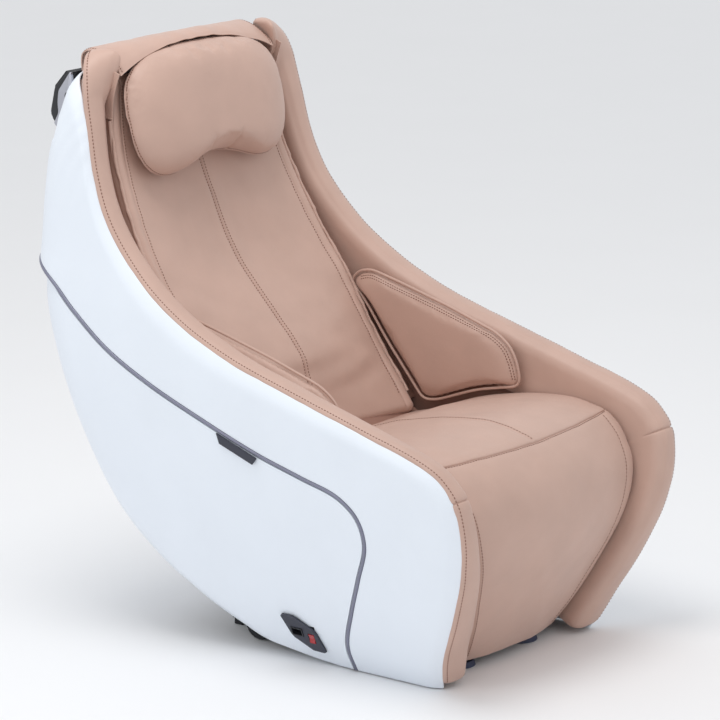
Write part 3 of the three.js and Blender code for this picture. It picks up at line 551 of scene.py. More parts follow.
# ---- soft sections
def out_of(outline):
    """Unit normals of a closed outline, pointing out of it."""
    after, before = np.roll(outline, -1, 0), np.roll(outline, 1, 0)
    along = after - before
    n = np.stack([along[:, 1], -along[:, 0]], 1)
    n /= np.maximum(np.linalg.norm(n, axis=1), 1e-9)[:, None]
    area = np.sum(outline[:, 0] * after[:, 1] - after[:, 0] * outline[:, 1])
    return n if area > 0 else -n


def wander(x, size, seed, octaves=4, base=180.0):
    """A smooth irregular line of roughly the given size."""
    rng = np.random.default_rng(seed)
    total = np.zeros_like(np.asarray(x, float))
    for k in range(octaves):
        total += np.sin(x / base * (1.7 ** k) * 2 * math.pi + rng.uniform(0, 7)) / (1.35 ** k)
    return size * total / octaves * 1.6


# ---- stitches
def stitch_row(name, path, tree, body="chair", pitch=6.4, length=4.4, radius=1.0, blend=None, lift=0.25):
    """A row of thread stitches laid along a path on a surface."""
    path = np.asarray(path, float)
    run = lengths(path, 3)
    where = np.arange(pitch, run[-1] - pitch * 0.5, pitch)
    centres = at_lengths(path, where, 3)
    ends = at_lengths(path, where + 0.5, 3)
    parts = []
    turn = np.linspace(0, 2 * np.pi, 6, endpoint=False)
    for c, e in zip(centres, ends):
        spot, normal = (np.array(v) for v in tree.find_nearest(Vector(c * MM))[:2])
        along = e - c
        along -= normal * along.dot(normal)
        along /= np.linalg.norm(along)
        side = np.cross(normal, along)
        middle = spot / MM + normal * lift
        ring = [middle + along * h * length / 2 + 0.85 * radius * (np.cos(a) * side + np.sin(a) * normal)
                - normal * abs(h) ** 3 * 0.5 for h in (-0.62, 0.62) for a in turn]
        tips = [middle + along * h * length / 2 - normal * 0.55 for h in (-1, 1)]
        faces = [(j, (j + 1) % 6, 6 + (j + 1) % 6, 6 + j) for j in range(6)]
        faces += [(12, (j + 1) % 6, j) for j in range(6)] + [(13, 6 + j, 6 + (j + 1) % 6) for j in range(6)]
        parts.append((np.array(ring + tips), faces))
    piece = new_piece(name, merged(parts), None if blend else body, finish=SHADE_DARKENED_THREAD, smooth_angle=80)
    if blend:
        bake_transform(piece)


def tree_of(piece):
    """The final surface of a piece, for laying stitches on it."""
    graph = bpy.context.evaluated_depsgraph_get()
    graph.update()
    return BVHTree.FromObject(piece, graph)


# ---- bolsters
# How far the upholstered wing stands above the panel's rim, by the way round.
wing_rise = profile([(357, 0), (371, 16), (392, 27), (420, 37), (452, 33)])
bolster_depth = profile([(-400, 85), (-360, 72), (-200, 96), (0, 104), (200, 92), (330, 78), (440, 60)])
wing_fine = fine_curve(WING)
wing_fine = wing_fine[wing_fine[:, 1] > 9]
wing_total = lengths(wing_fine)[-1]
nearest = np.argmin(np.hypot(wing_fine[:, 0] + 481, wing_fine[:, 1] - 374))
CORNER_SEAM = lengths(wing_fine)[nearest]
near_ends = [1, 2.5, 4.5, 7, 10, *(wing_total - np.array([1, 3, 6, 10, 14]))]
wing_runs = np.unique(np.concatenate([clustered(wing_total, 8.0, [CORNER_SEAM]), near_ends]))
wing = at_lengths(wing_fine, wing_runs)
wing_out = left_of(wing)


def bolster_outline(z, s, run):
    """The bolster's section at a place on its line, as depth under the outer form and offset."""
    inner = float(halfWidth(z) - innerWidth(z))
    deep = float(bolster_depth(-400 if z < 405 else s))
    rise = float(wing_rise(s)) if z > 900 else 0.0
    control = [
        (16, -deep), (16, -0.5 * deep - 0.4 * rise), (16 + 0.1 * rise, -15 - 0.8 * rise),
        (14.6 + 0.12 * rise, -7 - 0.6 * rise), (11.8 + 0.05 * rise, -1.2), (10.9, 1.4), (11.5, 4.0),
        (14.2, 7.0), (20, 9.4), (0.33 * inner + 4, 10.9), (0.55 * inner, 11.2), (0.74 * inner, 9.6),
        (inner - 13, 6.2), (inner - 5, 0.6), (inner - 0.5, -10), (inner + 0.4, -24), (inner, -0.55 * deep),
        (inner, -0.8 * deep), (inner - 2, -deep)]
    line = even(fine_curve(control, 16), 62)
    core = np.array([0.5 * (16 + inner), -0.5 * deep])
    start, end = min(run / 16, 1), min((wing_total - run) / 18, 1)
    for share in (start, end):
        line = core + (line - core) * (0.80 + 0.20 * math.sqrt(1 - (1 - share) ** 2))
    face = np.clip((line[:, 1] + 30) / 30, 0, 1)
    swell = groove(run - CORNER_SEAM, 2.8, 1.5) + 1.1 * ridge(abs(run - CORNER_SEAM) - 11, 9)
    swell = swell * face + wander(run + 3 * line[:, 0], 0.5, 11) * face
    line = line + out_of(line) * swell[:, None]
    furrow = np.exp(-(((line[:, 0] - 15.5) ** 2 + (line[:, 1] - 7.6) ** 2) / 5.0))
    return line - out_of(line) * (0.55 * furrow)[:, None]


ARM_STITCHES = 7.8
for word, side in SIDES:
    sections = []
    for p, out, run in zip(wing, wing_out, wing_runs):
        outline = bolster_outline(p[1], p[0], run)
        s = p[0] + out[0] * outline[:, 1]
        z = np.maximum(p[1] + out[1] * outline[:, 1], 2.2)
        sections.append(form(side, s, z, outline[:, 0]))
    piece = new_piece(f"arm_bolster_{word}", loft(sections), replaces=[f"side_bolster_{word}"])
    row = wing + wing_out * ARM_STITCHES
    row = form(side, row[:, 0], np.maximum(row[:, 1], 3), 2 * ARM_STITCHES)
    stitch_row(f"arm_stitches_{word}", row[3:-4], tree_of(piece))


# ---- large cushions
def cushion(name, rows, half, thickness, roll, outward, columns, swell, body, replaces, reshape=None):
    """A closed pad: rows hold its centre and edge lines in the side view; outward is the side it faces."""
    centre, edge = rows[:, 0:2], rows[:, 2:4]
    normal_c, normal_e = (outward * left_of(line) for line in (centre, edge))
    along = np.gradient(centre, axis=0)
    along /= np.linalg.norm(along, axis=1)[:, None]
    sections = []
    turns = np.radians([18, 36, 54, 72, 90])
    for i in range(len(rows)):
        c = columns(half[i])
        q = (c / half[i]) ** 2
        n = normal_c[i] * (1 - q)[:, None] + normal_e[i] * q[:, None]
        n /= np.linalg.norm(n, axis=1)[:, None]
        flat = centre[i] + (edge[i] - centre[i]) * q[:, None] + n * swell(i, c, half[i])[:, None]
        t, r, h = thickness[i], roll, half[i]
        ne = normal_e[i]
        face = np.column_stack([c, flat])
        right_x = np.concatenate([h + r * np.sin(turns), h + r + np.array([1.2, 1.2, 0, -5])])
        right_n = np.concatenate([-r * (1 - np.cos(turns)), [-0.4 * t, -0.6 * t, -0.88 * t, -t]])
        right = np.column_stack([right_x, edge[i] + ne * right_n[:, None]])
        back_c = np.linspace(h - 12, -(h - 12), 9)
        back_q = (back_c / h) ** 2
        back_flat = centre[i] + (edge[i] - centre[i]) * back_q[:, None]
        back_n = normal_c[i] * (1 - back_q)[:, None] + ne * back_q[:, None]
        back = np.column_stack([back_c, back_flat - back_n * t])
        left = right[::-1] * (-1, 1, 1)
        sections.append(np.vstack([face, right, back, left]))
    sections = reshape(sections) if reshape else np.array(sections)

    def round_end(first, sign):
        ring, ahead, t = sections[first], along[first] * sign, thickness[first]
        out = []
        reach = half[first] + roll - t / 2
        share = (np.clip(ring[:, 0] / half[first], -1, 1) ** 2)[:, None]
        core = centre[first] + (edge[first] - centre[first]) * share - normal_c[first] * t / 2
        middle = np.column_stack([np.clip(ring[:, 0], -reach, reach), core])
        for turn in np.radians([18, 36, 52, 66, 78, 86]):
            step = np.array([0, *(ahead * (t / 2) * math.sin(turn))])
            out.append(middle + (ring - middle) * math.cos(turn) + step)
        return np.array(out)

    shape = loft(np.concatenate([round_end(0, -1)[::-1], sections, round_end(-1, 1)]))
    return new_piece(name, shape, body, replaces=replaces)


FULL_HALF, COLUMN_STEP = 262, 9.0


def seam_columns(side_seam):
    """Places across a pad, with fine ones at its middle seam and at one seam in from each side."""
    near = np.array([-4.5, -2.4, -1.1, -0.35, 0.35, 1.1, 2.4])
    counts = []

    def columns(half):
        marks = (side_seam - half, 0.0, half - side_seam)
        knots = [-half, *(k for m in marks for k in (m - 4.5, m + 4.5)), half]
        spans = list(zip(knots[::2], knots[1::2]))
        if not counts:
            counts.extend(max(3, round((b - a) / half * FULL_HALF / COLUMN_STEP)) for a, b in spans)
        out = []
        for k, ((a, b), count) in enumerate(zip(spans, counts)):
            out += list(np.linspace(a, b, count, endpoint=k == len(spans) - 1))
            if k < len(marks):
                out += list(marks[k] + near)
        return np.array(out)
    return columns


# Seat and leg panel: one cover from the crease, over the knee and down the leg rest.
# centre y, centre z, edge y, edge z, half width, thickness
SEAT_ROWS = [
    (52, 336, 46, 336, 246, 18), (25, 343, 25, 341, 252, 22), (-30, 362, -30, 355, 259, 30),
    (-100, 390, -100, 384, 263, 38), (-200, 411, -200, 406, 267, 40), (-300, 424, -300, 414, 270, 38),
    (-345, 421, -345, 408, 271, 32), (-397, 408, -384, 397, 271, 30), (-437, 386, -412, 376, 269, 30),
    (-460, 360, -430, 352, 265, 33), (-473, 330, -446, 324, 258, 36), (-480, 280, -452, 276, 247, 36),
    (-473, 225, -445, 224, 230, 36), (-451, 160, -422, 161, 207, 36), (-420, 95, -393, 95, 181, 36),
    (-397, 56, -372, 56, 165, 35), (-375, 24, -352, 24, 150, 26)]
LEG_SEAM = 22.0
seat_fine = fine_curve(SEAT_ROWS)
seat_run = lengths(seat_fine)
seat_total = seat_run[-1]
foremost = np.argmin(seat_fine[:, 0])
KNEE_SEAM = float(np.interp(412, -seat_fine[:foremost, 0], seat_run[:foremost]))
seat_places = clustered(seat_total, 8.0, [KNEE_SEAM])
seat_rows = at_lengths(seat_fine, seat_places)
ROLL_R = 9.0
ARC_BOW = 26.0


def bowed(places):
    """How far along the cover each row is carried back at the sides, so that rows follow the bowed seam."""
    return -ARC_BOW * np.exp(-((places - KNEE_SEAM) / 70) ** 2)


def seat_point(run, c, half):
    """A point of the cover's face, for seams and stitches."""
    share = (c / half) ** 2
    r = run + bowed(run) * share
    row = at_lengths(seat_fine, np.atleast_1d(r))
    q = np.atleast_1d(share)[:, None]
    flat = row[:, 0:2] + (row[:, 2:4] - row[:, 0:2]) * q
    return np.column_stack([np.broadcast_to(c, (len(flat),)), flat])


def seat_swell(i, c, half):
    """The cover's relief on one row: seams, the fullness beside them, folds at the crease and slack."""
    run = seat_places[i] + 0 * c
    share = np.abs(c) / half
    out = groove(run - KNEE_SEAM, 2.6, 1.6) + 1.5 * ridge(abs(run - KNEE_SEAM) - 14, 12)
    on_seat = np.clip((KNEE_SEAM - run) / 6, 0, 1)
    out = out + on_seat * (groove(c, 1.9, 1.6) + 1.1 * ridge(abs(c) - 14, 12))
    side = half - LEG_SEAM
    on_leg = np.clip((run - KNEE_SEAM) / 20, 0, 1)
    out = out + on_leg * groove(abs(c) - side, 2.2, 1.5) + on_leg * 1.0 * ridge(abs(c) - half + 2, 7)
    crease = np.clip(1 - run / 230, 0, 1)
    folds = np.sin(run / 13 + 0.012 * c + 1.9 * np.sin(c / 95)) * np.exp(-((share - 0.35) / 0.5) ** 2)
    out = out + 2.2 * crease * folds
    soft = wander(run + 0.7 * c, 1.0, 3, base=240) + wander(c - 0.5 * run, 0.9, 4, base=200)
    return out + soft * np.clip((1 - share) * 6, 0, 1)


seat_half = np.interp(seat_places, seat_run, seat_fine[:, 4])
thick = np.interp(seat_places, seat_run, seat_fine[:, 5])


def bow_rows(sections):
    """Carries the sides of each row back along the cover, so that rows near the knee follow its seam."""
    out = np.array(sections)
    for i, place in enumerate(seat_places):
        shift = bowed(place)
        if abs(shift) < 0.05:
            continue
        share = np.clip(np.abs(out[i][:, 0]) / seat_half[i], 0, 1) ** 2
        here = at_lengths(seat_fine, np.array([place]))[0]
        there = at_lengths(seat_fine, place + shift * share)
        out[i][:, 1:3] += (there[:, 0:2] - here[0:2]) * (1 - share)[:, None]
        out[i][:, 1:3] += (there[:, 2:4] - here[2:4]) * share[:, None]
    return out


KNEE_BLEND = ("chair", "leg_rest", (0, -0.250, 0.420), (0, -0.476, 0.250))
seat = cushion("seat_and_leg_cover", seat_rows, seat_half, thick, ROLL_R, -1, seam_columns(LEG_SEAM),
               seat_swell, None, ["seat_cushion", "leg_rest_pad"], bow_rows)
seat_tree = tree_of(seat)


def half_at(run):
    return float(np.interp(run, seat_run, seat_fine[:, 4]))


def seat_stitches(name, places):
    """Stitches through places along the cover and across it, each with the half width there."""
    stitch_row(name, [seat_point(*place)[0] for place in places], seat_tree, blend=KNEE_BLEND)


STITCH_OFF = 4.0
leg_places = [(run, half_at(run)) for run in np.linspace(KNEE_SEAM + 6, seat_total - 4, 120)]
knee_half, leg_off = half_at(KNEE_SEAM), LEG_SEAM + STITCH_OFF
seat_stitches("knee_seam_stitches", [(KNEE_SEAM + 4.5, c * knee_half, knee_half)
                                     for c in np.linspace(-0.985, 0.985, 120)])
seat_stitches("leg_stitches_left", [(run, half - leg_off, half) for run, half in leg_places])
seat_stitches("leg_stitches_right", [(run, leg_off - half, half) for run, half in leg_places])
seat_stitches("seat_seam_stitches", [(run, STITCH_OFF, half_at(run))
                                     for run in np.linspace(60, KNEE_SEAM - 6, 80)])
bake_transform(seat)

# Back cushion: full at the lumbar, hollow above, with a double-stitched seam down its middle.
backCentre = profile([
    (350, 62), (418, 87), (473, 104), (525, 144), (575, 193), (629, 243), (679, 278), (746, 312),
    (827, 346), (900, 366), (985, 385)])
backEdge = profile([
    (350, 34), (387, 61), (447, 108), (517, 155), (597, 205), (649, 244), (717, 285), (783, 318),
    (850, 344), (930, 362), (985, 370)])
backHalf = profile([(350, 250), (600, 252), (700, 246), (800, 236), (900, 226), (985, 212)])
back_heights = np.concatenate([np.linspace(354, 620, 56), np.linspace(625, 983, 56)])
back_rows = np.column_stack([backCentre(back_heights), back_heights, backEdge(back_heights), back_heights])
back_half = backHalf(back_heights) - ROLL_R
SIDE_SEAM, BACK_THICKNESS = 13.0, 27.0


def back_swell(i, c, half):
    """The back pad's relief on one row: seams, folds at the lumbar, pull at the sides and slack."""
    z = back_heights[i]
    share = np.abs(c) / half
    out = groove(c, 2.4, 1.7) + 1.4 * ridge(abs(c) - 13, 11)
    out = out + groove(abs(c) - (half - SIDE_SEAM), 1.5, 1.7) + 1.6 * ridge(abs(c) - half + 3, 7)
    low = np.clip((600 - z) / 190, 0, 1) * np.clip((z - 372) / 40, 0, 1)
    lean = z * 0.92 - 0.22 * c + 9 * np.sin(c / 70)
    folds = np.sin(lean / 11.5) + 0.55 * np.sin(lean / 6.3 + c / 45 + 1.3)
    out = out + 1.5 * low * folds * np.clip((1.02 - share) * 3.5, 0, 1)
    pull = np.exp(-((z - 640) / 210) ** 2) * np.exp(-((half - np.abs(c)) / 34) ** 2)
    out = out + 0.55 * pull * np.sin(z / 7.3 + 2.0 * np.sin(z / 41))
    soft = wander(z + 0.4 * c, 1.3, 21, base=230) + wander(c + 0.3 * z, 0.9, 22, base=190)
    return out + soft * np.clip((1 - share) * 6, 0, 1)


back = cushion("back_pad", back_rows, back_half, np.full(len(back_heights), BACK_THICKNESS), ROLL_R, 1,
               seam_columns(SIDE_SEAM), back_swell, "chair", ["back_cushion"])
back_tree = tree_of(back)
stitch_z = np.linspace(372, 980, 170)


def back_stitches(name, c):
    """A row up the back pad at places across it."""
    q = (c / (backHalf(stitch_z) - ROLL_R)) ** 2
    y = backCentre(stitch_z) + (backEdge(stitch_z) - backCentre(stitch_z)) * q
    stitch_row(name, np.column_stack([c, y, stitch_z]), back_tree, pitch=5.6, length=3.8)


seam_half = backHalf(stitch_z) - ROLL_R - SIDE_SEAM - 4.5
for kind, off in (("seam", 5.0), ("side", seam_half)):
    for word, side in SIDES:
        back_stitches(f"back_{kind}_stitches_{word}", side * np.broadcast_to(off, stitch_z.shape))

for word, side in SIDES:
    # A crumpled welt runs down each side of the back cushion.
    z = np.linspace(374, 978, 220)
    half = backHalf(z)
    path = np.column_stack([side * (half + 1.5 + wander(z, 0.9, 31 + side, base=70)),
                            backEdge(z) + 4.0 + wander(z, 1.4, 33 + side, base=60), z])
    new_piece(f"back_welt_{word}", tube(path, 3.4 + 0.5 * np.sin(z / 9.0 + np.sin(z / 31) * 2), sides=10))


# ---- linings that close the gaps beside the cushions, in a darker beige that paints the shade in those gaps
# The lining colour is the beige upholstery darkened to paint the shade that falls in the gaps beside the
# cushions.
PAINTED_SHADE_LINING = look("shade_lining", srgb(150, 112, 98), 0.7, grain=(760, 0.0002), mottle=0.05)
LINING_THICKNESS = 3.0


def shade_lining(name, inner, outer, across=7, sag=0.0, up=(0, 0, 1)):
    """A strip of covering between two lines of points, sagging between them, in the painted-shade lining
    colour.
    """
    t = np.linspace(0, 1, across)
    top = inner[:, None] * (1 - t)[None, :, None] + outer[:, None] * t[None, :, None]
    up = np.asarray(up, float)
    top = top - up * (sag * 4 * t * (1 - t))[None, :, None]
    return new_piece(name, plate_between(top, top - up * LINING_THICKNESS), finish=PAINTED_SHADE_LINING)


for word, side in SIDES:
    # The arm's inner covering, behind the hip pad and down beside the seat.
    y = np.linspace(-360, 235, 110)
    low = np.column_stack([side * (innerWidth(np.full(110, 300.0)) + 12), y, np.full(110, 300.0)])
    high_z = np.interp(y, [-360, -295, -125, 5, 125, 220, 300], [370, 400, 450, 486, 540, 600, 690])
    high = np.column_stack([side * (innerWidth(high_z) + 9), y, high_z])
    shade_lining(f"arm_lining_{word}", low, high, across=14, up=(-side, 0, 0))
    z = np.linspace(356, 1000, 120)
    inner = np.column_stack([side * (backHalf(z) - 14), backEdge(z) + 16, z])
    outer = np.column_stack([side * (innerWidth(z) + 6), backEdge(z) + 24, z])
    shade_lining(f"back_gusset_{word}", inner, outer, sag=2, up=(0, -0.9, 0.3))
    y = np.linspace(-352, 30, 90)
    top = np.interp(y, [-345, -300, -200, -100, -30, 25], [408, 414, 406, 384, 355, 340])
    inner = np.column_stack([0 * y + side * 262, y, top - 26])
    outer = np.column_stack([side * (innerWidth(top - 20) + 6), y, top - 20])
    shade_lining(f"seat_gusset_{word}", inner, outer, sag=2)

CREASE_LOW, CREASE_HIGH, CREASE_HALF = (18.0, 322.0), (98.0, 372.0), 264
low_edge, high_edge = (np.array([(x, *at) for x in np.linspace(-CREASE_HALF, CREASE_HALF, 60)])
                       for at in (CREASE_LOW, CREASE_HIGH))
shade_lining("crease_lining", low_edge, high_edge, across=12, up=(0, -0.5, 0.8))

# ---- stuffed pieces
def domed(outline, height, power=3.0, rings=14, flat=2.2):
    """A closed cushion form over an outline in a plane: rings from the rim to the middle, on both faces."""
    middle = outline.mean(0)
    shares = np.sin(np.linspace(0, math.pi / 2, rings))[::-1]
    layers = [(k, height * (1 - k ** power) ** (1 / flat)) for k in shares]
    top = [np.column_stack([middle + (outline - middle) * k, np.full(len(outline), h)])
           for k, h in layers[:-1]]
    low = [row * (1, 1, -1) for row in top[1:]]
    return loft(np.array([*low[::-1], *top]))


SIM_FRAMES = 20
CLOTH = {"quality": 5, "mass": 0.25, "tension_stiffness": 14.0, "compression_stiffness": 14.0,
         "shear_stiffness": 7.0, "bending_stiffness": 0.6, "use_pressure": True,
         "uniform_pressure_force": 4.0}


def stuffed(piece, voxel=0.005, cap=0.010):
    """Puffs a closed form as cloth under pressure, then smooths it. Each point moves at most the cap."""
    bpy.context.view_layer.objects.active = piece
    for other in bpy.context.selected_objects:
        other.select_set(False)
    piece.select_set(True)
    remesh = piece.modifiers.new("remesh", "REMESH")
    remesh.mode = "VOXEL"
    remesh.voxel_size = voxel
    remesh.use_smooth_shade = True
    bpy.ops.object.modifier_apply(modifier=remesh.name)
    start = np.array([v.co for v in piece.data.vertices])
    cloth = piece.modifiers.new("stuffing", "CLOTH")
    for key, value in CLOTH.items():
        setattr(cloth.settings, key, value)
    cloth.settings.effector_weights.gravity = 0
    cloth.collision_settings.use_collision = False
    scene = bpy.context.scene
    for step in range(1, SIM_FRAMES + 1):
        scene.frame_set(step)
    graph = bpy.context.evaluated_depsgraph_get()
    shown = piece.evaluated_get(graph)
    moved = np.array([v.co for v in shown.data.vertices])
    piece.modifiers.remove(cloth)
    scene.frame_set(1)
    step = moved - start
    step -= step.mean(0)
    size = np.linalg.norm(step, axis=1)[:, None]
    step *= np.tanh(size / cap) * cap / np.maximum(size, 1e-9)
    piece.data.vertices.foreach_set("co", (start + step).ravel())
    piece.data.update()
    smooth = piece.modifiers.new("fine", "SUBSURF")
    smooth.levels = smooth.render_levels = 1
    bpy.ops.object.modifier_apply(modifier=smooth.name)
    for face in piece.data.polygons:
        face.use_smooth = True


def bezier(points, steps=14):
    """Points along joined cubic curves, four to a curve and the ends shared."""
    out = []
    points = np.array(points, float)
    for a, b, c, d in zip(points[:-3:3], points[1::3], points[2::3], points[3::3]):
        t = np.linspace(0, 1, steps, endpoint=False)[:, None]
        out.append((1 - t) ** 3 * a + 3 * t * (1 - t) ** 2 * b + 3 * t * t * (1 - t) * c + t ** 3 * d)
    return np.vstack(out)


PILLOW_AT, PILLOW_LEAN = (0, 322, 930), 0.22
half_arch = np.array([
    (0, -99), (-50, -100), (-84, -117), (-130, -119), (-190, -119), (-219, -78), (-220, -14), (-227, 80),
    (-190, 124), (0, 124)])
half_moon = bezier([*half_arch, *(half_arch[-2::-1] * (-1, 1))])
lean_sin, lean_cos = math.sin(PILLOW_LEAN), math.cos(PILLOW_LEAN)
PILLOW_AXES = np.array([(1, 0, 0), (0, lean_sin, lean_cos), (0, -lean_cos, lean_sin)])
PX, PY, PZ = PILLOW_AXES


def on_pillow(points):
    """Points given across, up and out of the pillow, in the chair's frame."""
    return PILLOW_AT + points[:, :1] * PX + points[:, 1:2] * PY + points[:, 2:3] * PZ


points, faces = domed(half_moon, 34, power=4.2, flat=2.0)
# The seam lies near the back: a full front over a nearly flat rear.
SEAM_PLANE, FRONT_FULLNESS, REAR_FULLNESS = -17.0, 1.32, 0.42
points[:, 2] = SEAM_PLANE + points[:, 2] * np.where(points[:, 2] > 0, FRONT_FULLNESS, REAR_FULLNESS)
pillow = new_piece("head_cushion", (on_pillow(points), faces), None, replaces=["head_pillow"])
stuffed(pillow)
# A small pucker where the waist is gathered.
PUCKER_X, PUCKER_TOP, PUCKER_LOW, PUCKER_DEPTH = 34, -55, -125, 4.0
for vertex in pillow.data.vertices:
    across, up, front = PILLOW_AXES @ (np.array(vertex.co) / MM - PILLOW_AT)
    if front > SEAM_PLANE and PUCKER_LOW < up < PUCKER_TOP:
        depth = PUCKER_DEPTH * math.exp(-((across - PUCKER_X - 0.1 * (up + 90)) / 4.5) ** 2)
        depth *= min(1, (PUCKER_TOP - up) / 30)
        vertex.co = vertex.co - Vector(depth * (0.8 * PZ - 0.6 * PY) * MM)
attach(pillow, "pillow")
pillow_tree = tree_of(pillow)
rim_line = np.column_stack([half_moon, np.full(len(half_moon), SEAM_PLANE + 9)])
stitch_row("head_cushion_stitches", on_pillow(closed(rim_line)), pillow_tree, "pillow",
           pitch=5.8, length=4.0)
welt = np.column_stack([half_moon * 1.06, np.full(len(half_moon), SEAM_PLANE)])
welt_points = [np.array(pillow_tree.find_nearest(Vector(p * MM))[0]) / MM
               for p in on_pillow(closed(welt, 2))]
new_piece("head_cushion_welt", tube(welt_points, 1.5), "pillow")

HIP_PAD = [(198, 567), (177, 588), (147, 593), (88, 579), (-29, 548), (-143, 512), (-172, 492), (-188, 466),
           (-200, 419), (-99, 398), (-7, 364), (26, 360), (66, 408), (112, 462), (160, 528)]
hip_outline = even(closed(rounded(HIP_PAD, 26, 6)), 121)[:-1]
HIP_X, HIP_STITCH_X, HIP_WELT_X = 264.5, 254.0, 261.0
top_edge = even(fine_curve([
    (176, 578), (147, 584), (88, 570), (-29, 539), (-140, 504), (-164, 486), (-178, 462), (-190, 424)]), 140)
for word, side in SIDES:
    points, faces = domed(hip_outline, 8.5, power=7.0, rings=16)
    points = np.column_stack([side * (HIP_X + points[:, 2]), points[:, 0], points[:, 1]])
    pad = new_piece(f"hip_cushion_{word}", (points, faces), None, replaces=[f"hip_pad_{word}"])
    stuffed(pad, voxel=0.0045, cap=0.006)
    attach(pad, "chair")
    pad_tree = tree_of(pad)
    for k, off in enumerate((0.0, 6.0)):
        path = beside(side * HIP_STITCH_X, top_edge + left_of(top_edge) * off)
        stitch_row(f"hip_stitches_{word}_{k + 1}", path, pad_tree, pitch=5.6, length=3.8)
    middle = hip_outline.mean(0)
    cord_line = middle + (closed(hip_outline, 2) - middle) * 0.995
    new_piece(f"hip_welt_{word}", tube(beside(side * HIP_WELT_X, cord_line), 2.6))

# ---- top roll and the flap over it
ROLL_Y, ROLL_Z, ROLL_RADIUS, ROLL_HALF = 404, 1013, 16, 186
turns = np.linspace(0, 2 * np.pi, 32, endpoint=False)
tip = np.array([0, 1, 4, 9, 16])
roll_x = np.concatenate([tip - ROLL_HALF, np.linspace(-166, 166, 50), ROLL_HALF - tip[::-1]])
roll_r = ROLL_RADIUS * np.clip(1 - (np.abs(roll_x) / (ROLL_HALF + 0.5)) ** 16, 0.02, 1) ** 0.5
roll_r = roll_r + wander(roll_x, 0.4, 51) * (roll_r > 10)
round_line = np.column_stack([np.cos(turns), np.sin(turns)])
shape = loft([beside(x, (ROLL_Y, ROLL_Z) + r * round_line) for x, r in zip(roll_x, roll_r)])
roll_piece = new_piece("top_roll_pad", shape, replaces=["top_roll"])

# The flap rises behind the rear panel, turns over the ridge and runs forward to the pillow's top seam,
# falling away at its ends with the pillow's arched outline.
FLAP_HALF, FLAP_EDGE = 217.0, 14
FLAP_BLEND = ("chair", "pillow", (0, 0.414, 1.05), (0, 0.370, 1.05))


def flap_line(x):
    """The flap's line in the side view at a place across, lower towards its ends."""
    w = (abs(x) / FLAP_HALF) ** 2.2
    return even(fine_curve([
        (441, 998), (443.5, 1020), (440, 1036), (427, 1045 - w), (402, 1052 - 10 * w),
        (380, 1054.5 - 22 * w), (364 - 10 * w, 1051 - 36 * w), (355 - 10 * w, 1045 - 42 * w)]), 60)


flap_tips = np.linspace(FLAP_HALF - 11, FLAP_HALF, 9)
flap_x = np.concatenate([-flap_tips[::-1], np.linspace(-199, 199, 74), flap_tips])
sections = []
flap_run = np.linspace(0, 1, 60)
for x in flap_x:
    line = flap_line(x)
    out = -left_of(line)
    edge = np.clip((np.abs(x) - FLAP_HALF + FLAP_EDGE) / FLAP_EDGE, 0, 1)
    ends = np.clip(np.minimum(flap_run, 1 - flap_run) * 30, 0, 1)
    puff = 1.4 * np.sin(flap_run * math.pi) + wander(x + 60 * flap_run, 0.8, 61, base=120)
    pull = 0.8 * np.sin(x / 8.5 + 2 * np.sin(x / 47)) * np.clip((flap_run - 0.62) / 0.3, 0, 1)
    furrow = groove(abs(x) - FLAP_HALF + 8, 0.9, 1.2)
    lift = (puff + pull) * (1 - edge) + furrow - 1.5 * edge ** 2
    thick_here = (1.6 + 3.0 * np.sqrt(ends)) * (1 - 0.45 * edge ** 2)
    outer = line + out * lift[:, None]
    inner = line + out * (lift - thick_here)[:, None]
    sections.append(beside(x, np.vstack([outer, inner[::-1]])))
flap = new_piece("top_flap", loft_flat_ends(np.array(sections)), None, replaces=["pillow_flap"])
flap_tree = tree_of(flap)
hem_x = FLAP_HALF - 5
hem_line = flap_line(hem_x)
for word, side in SIDES:
    path = beside(side * hem_x, hem_line - left_of(hem_line) * 3)
    stitch_row(f"flap_stitches_{word}", path, flap_tree, pitch=5.8, length=4.0, blend=FLAP_BLEND)
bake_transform(flap)

# A strap hangs from each end of the flap beside the pillow, and ends in a hemmed tab over a loop.
STRAP_X, STRAP_THICKNESS, LOOP_X = 229.5, 2.4, 231.0
strap_line = even(fine_curve([(347, 1011), (353, 995), (362, 968), (367, 945), (369, 926)]), 40)
strap_across = left_of(strap_line)
strap_bow = STRAP_X + 1.2 * np.sin(np.linspace(0, 5, 40))
strap_width = np.linspace(9.5, 10.7, 40)
loop_line = fine_curve([(363, 921), (360, 885), (354, 845), (343, 800), (330, 768)])


def strap_skin(side, inset, ease):
    """One face of the strap, as rows of points across it."""
    return np.array([[(side * (b + inset), *(p + q * o * w * ease)) for o in np.linspace(-1, 1, 9)]
                     for b, p, q, w in zip(strap_bow, strap_line, strap_across, strap_width)])


for word, side in SIDES:
    shape = plate_between(strap_skin(side, 0, 1), strap_skin(side, STRAP_THICKNESS, 0.97))
    new_piece(f"strap_{word}", shape, smooth_angle=60)
    hem = strap_line[-1] + strap_across[-1] * np.linspace(-12, 12, 14)[:, None]
    new_piece(f"strap_hem_{word}", tube(beside(side * STRAP_X, hem), [1.2, 1.9, *([2.1] * 10), 1.9, 1.2]))
    new_piece(f"strap_loop_{word}", tube(beside(side * LOOP_X, loop_line), 3.2, sides=10, squash=0.7))

# Handle cheeks: brushed aluminium shoes wrapped round the ends of the black grip.
CHEEK = [(443, 1000), (446, 1003), (474, 967), (477, 945), (475, 926), (484, 910), (486, 906), (470, 889),
         (464, 888), (452, 901), (441, 932), (438, 966)]
GRIP_END = [(445, 1002), (452, 1003), (485, 972), (496, 926), (490, 911), (484, 908), (472, 926),
            (470, 960)]
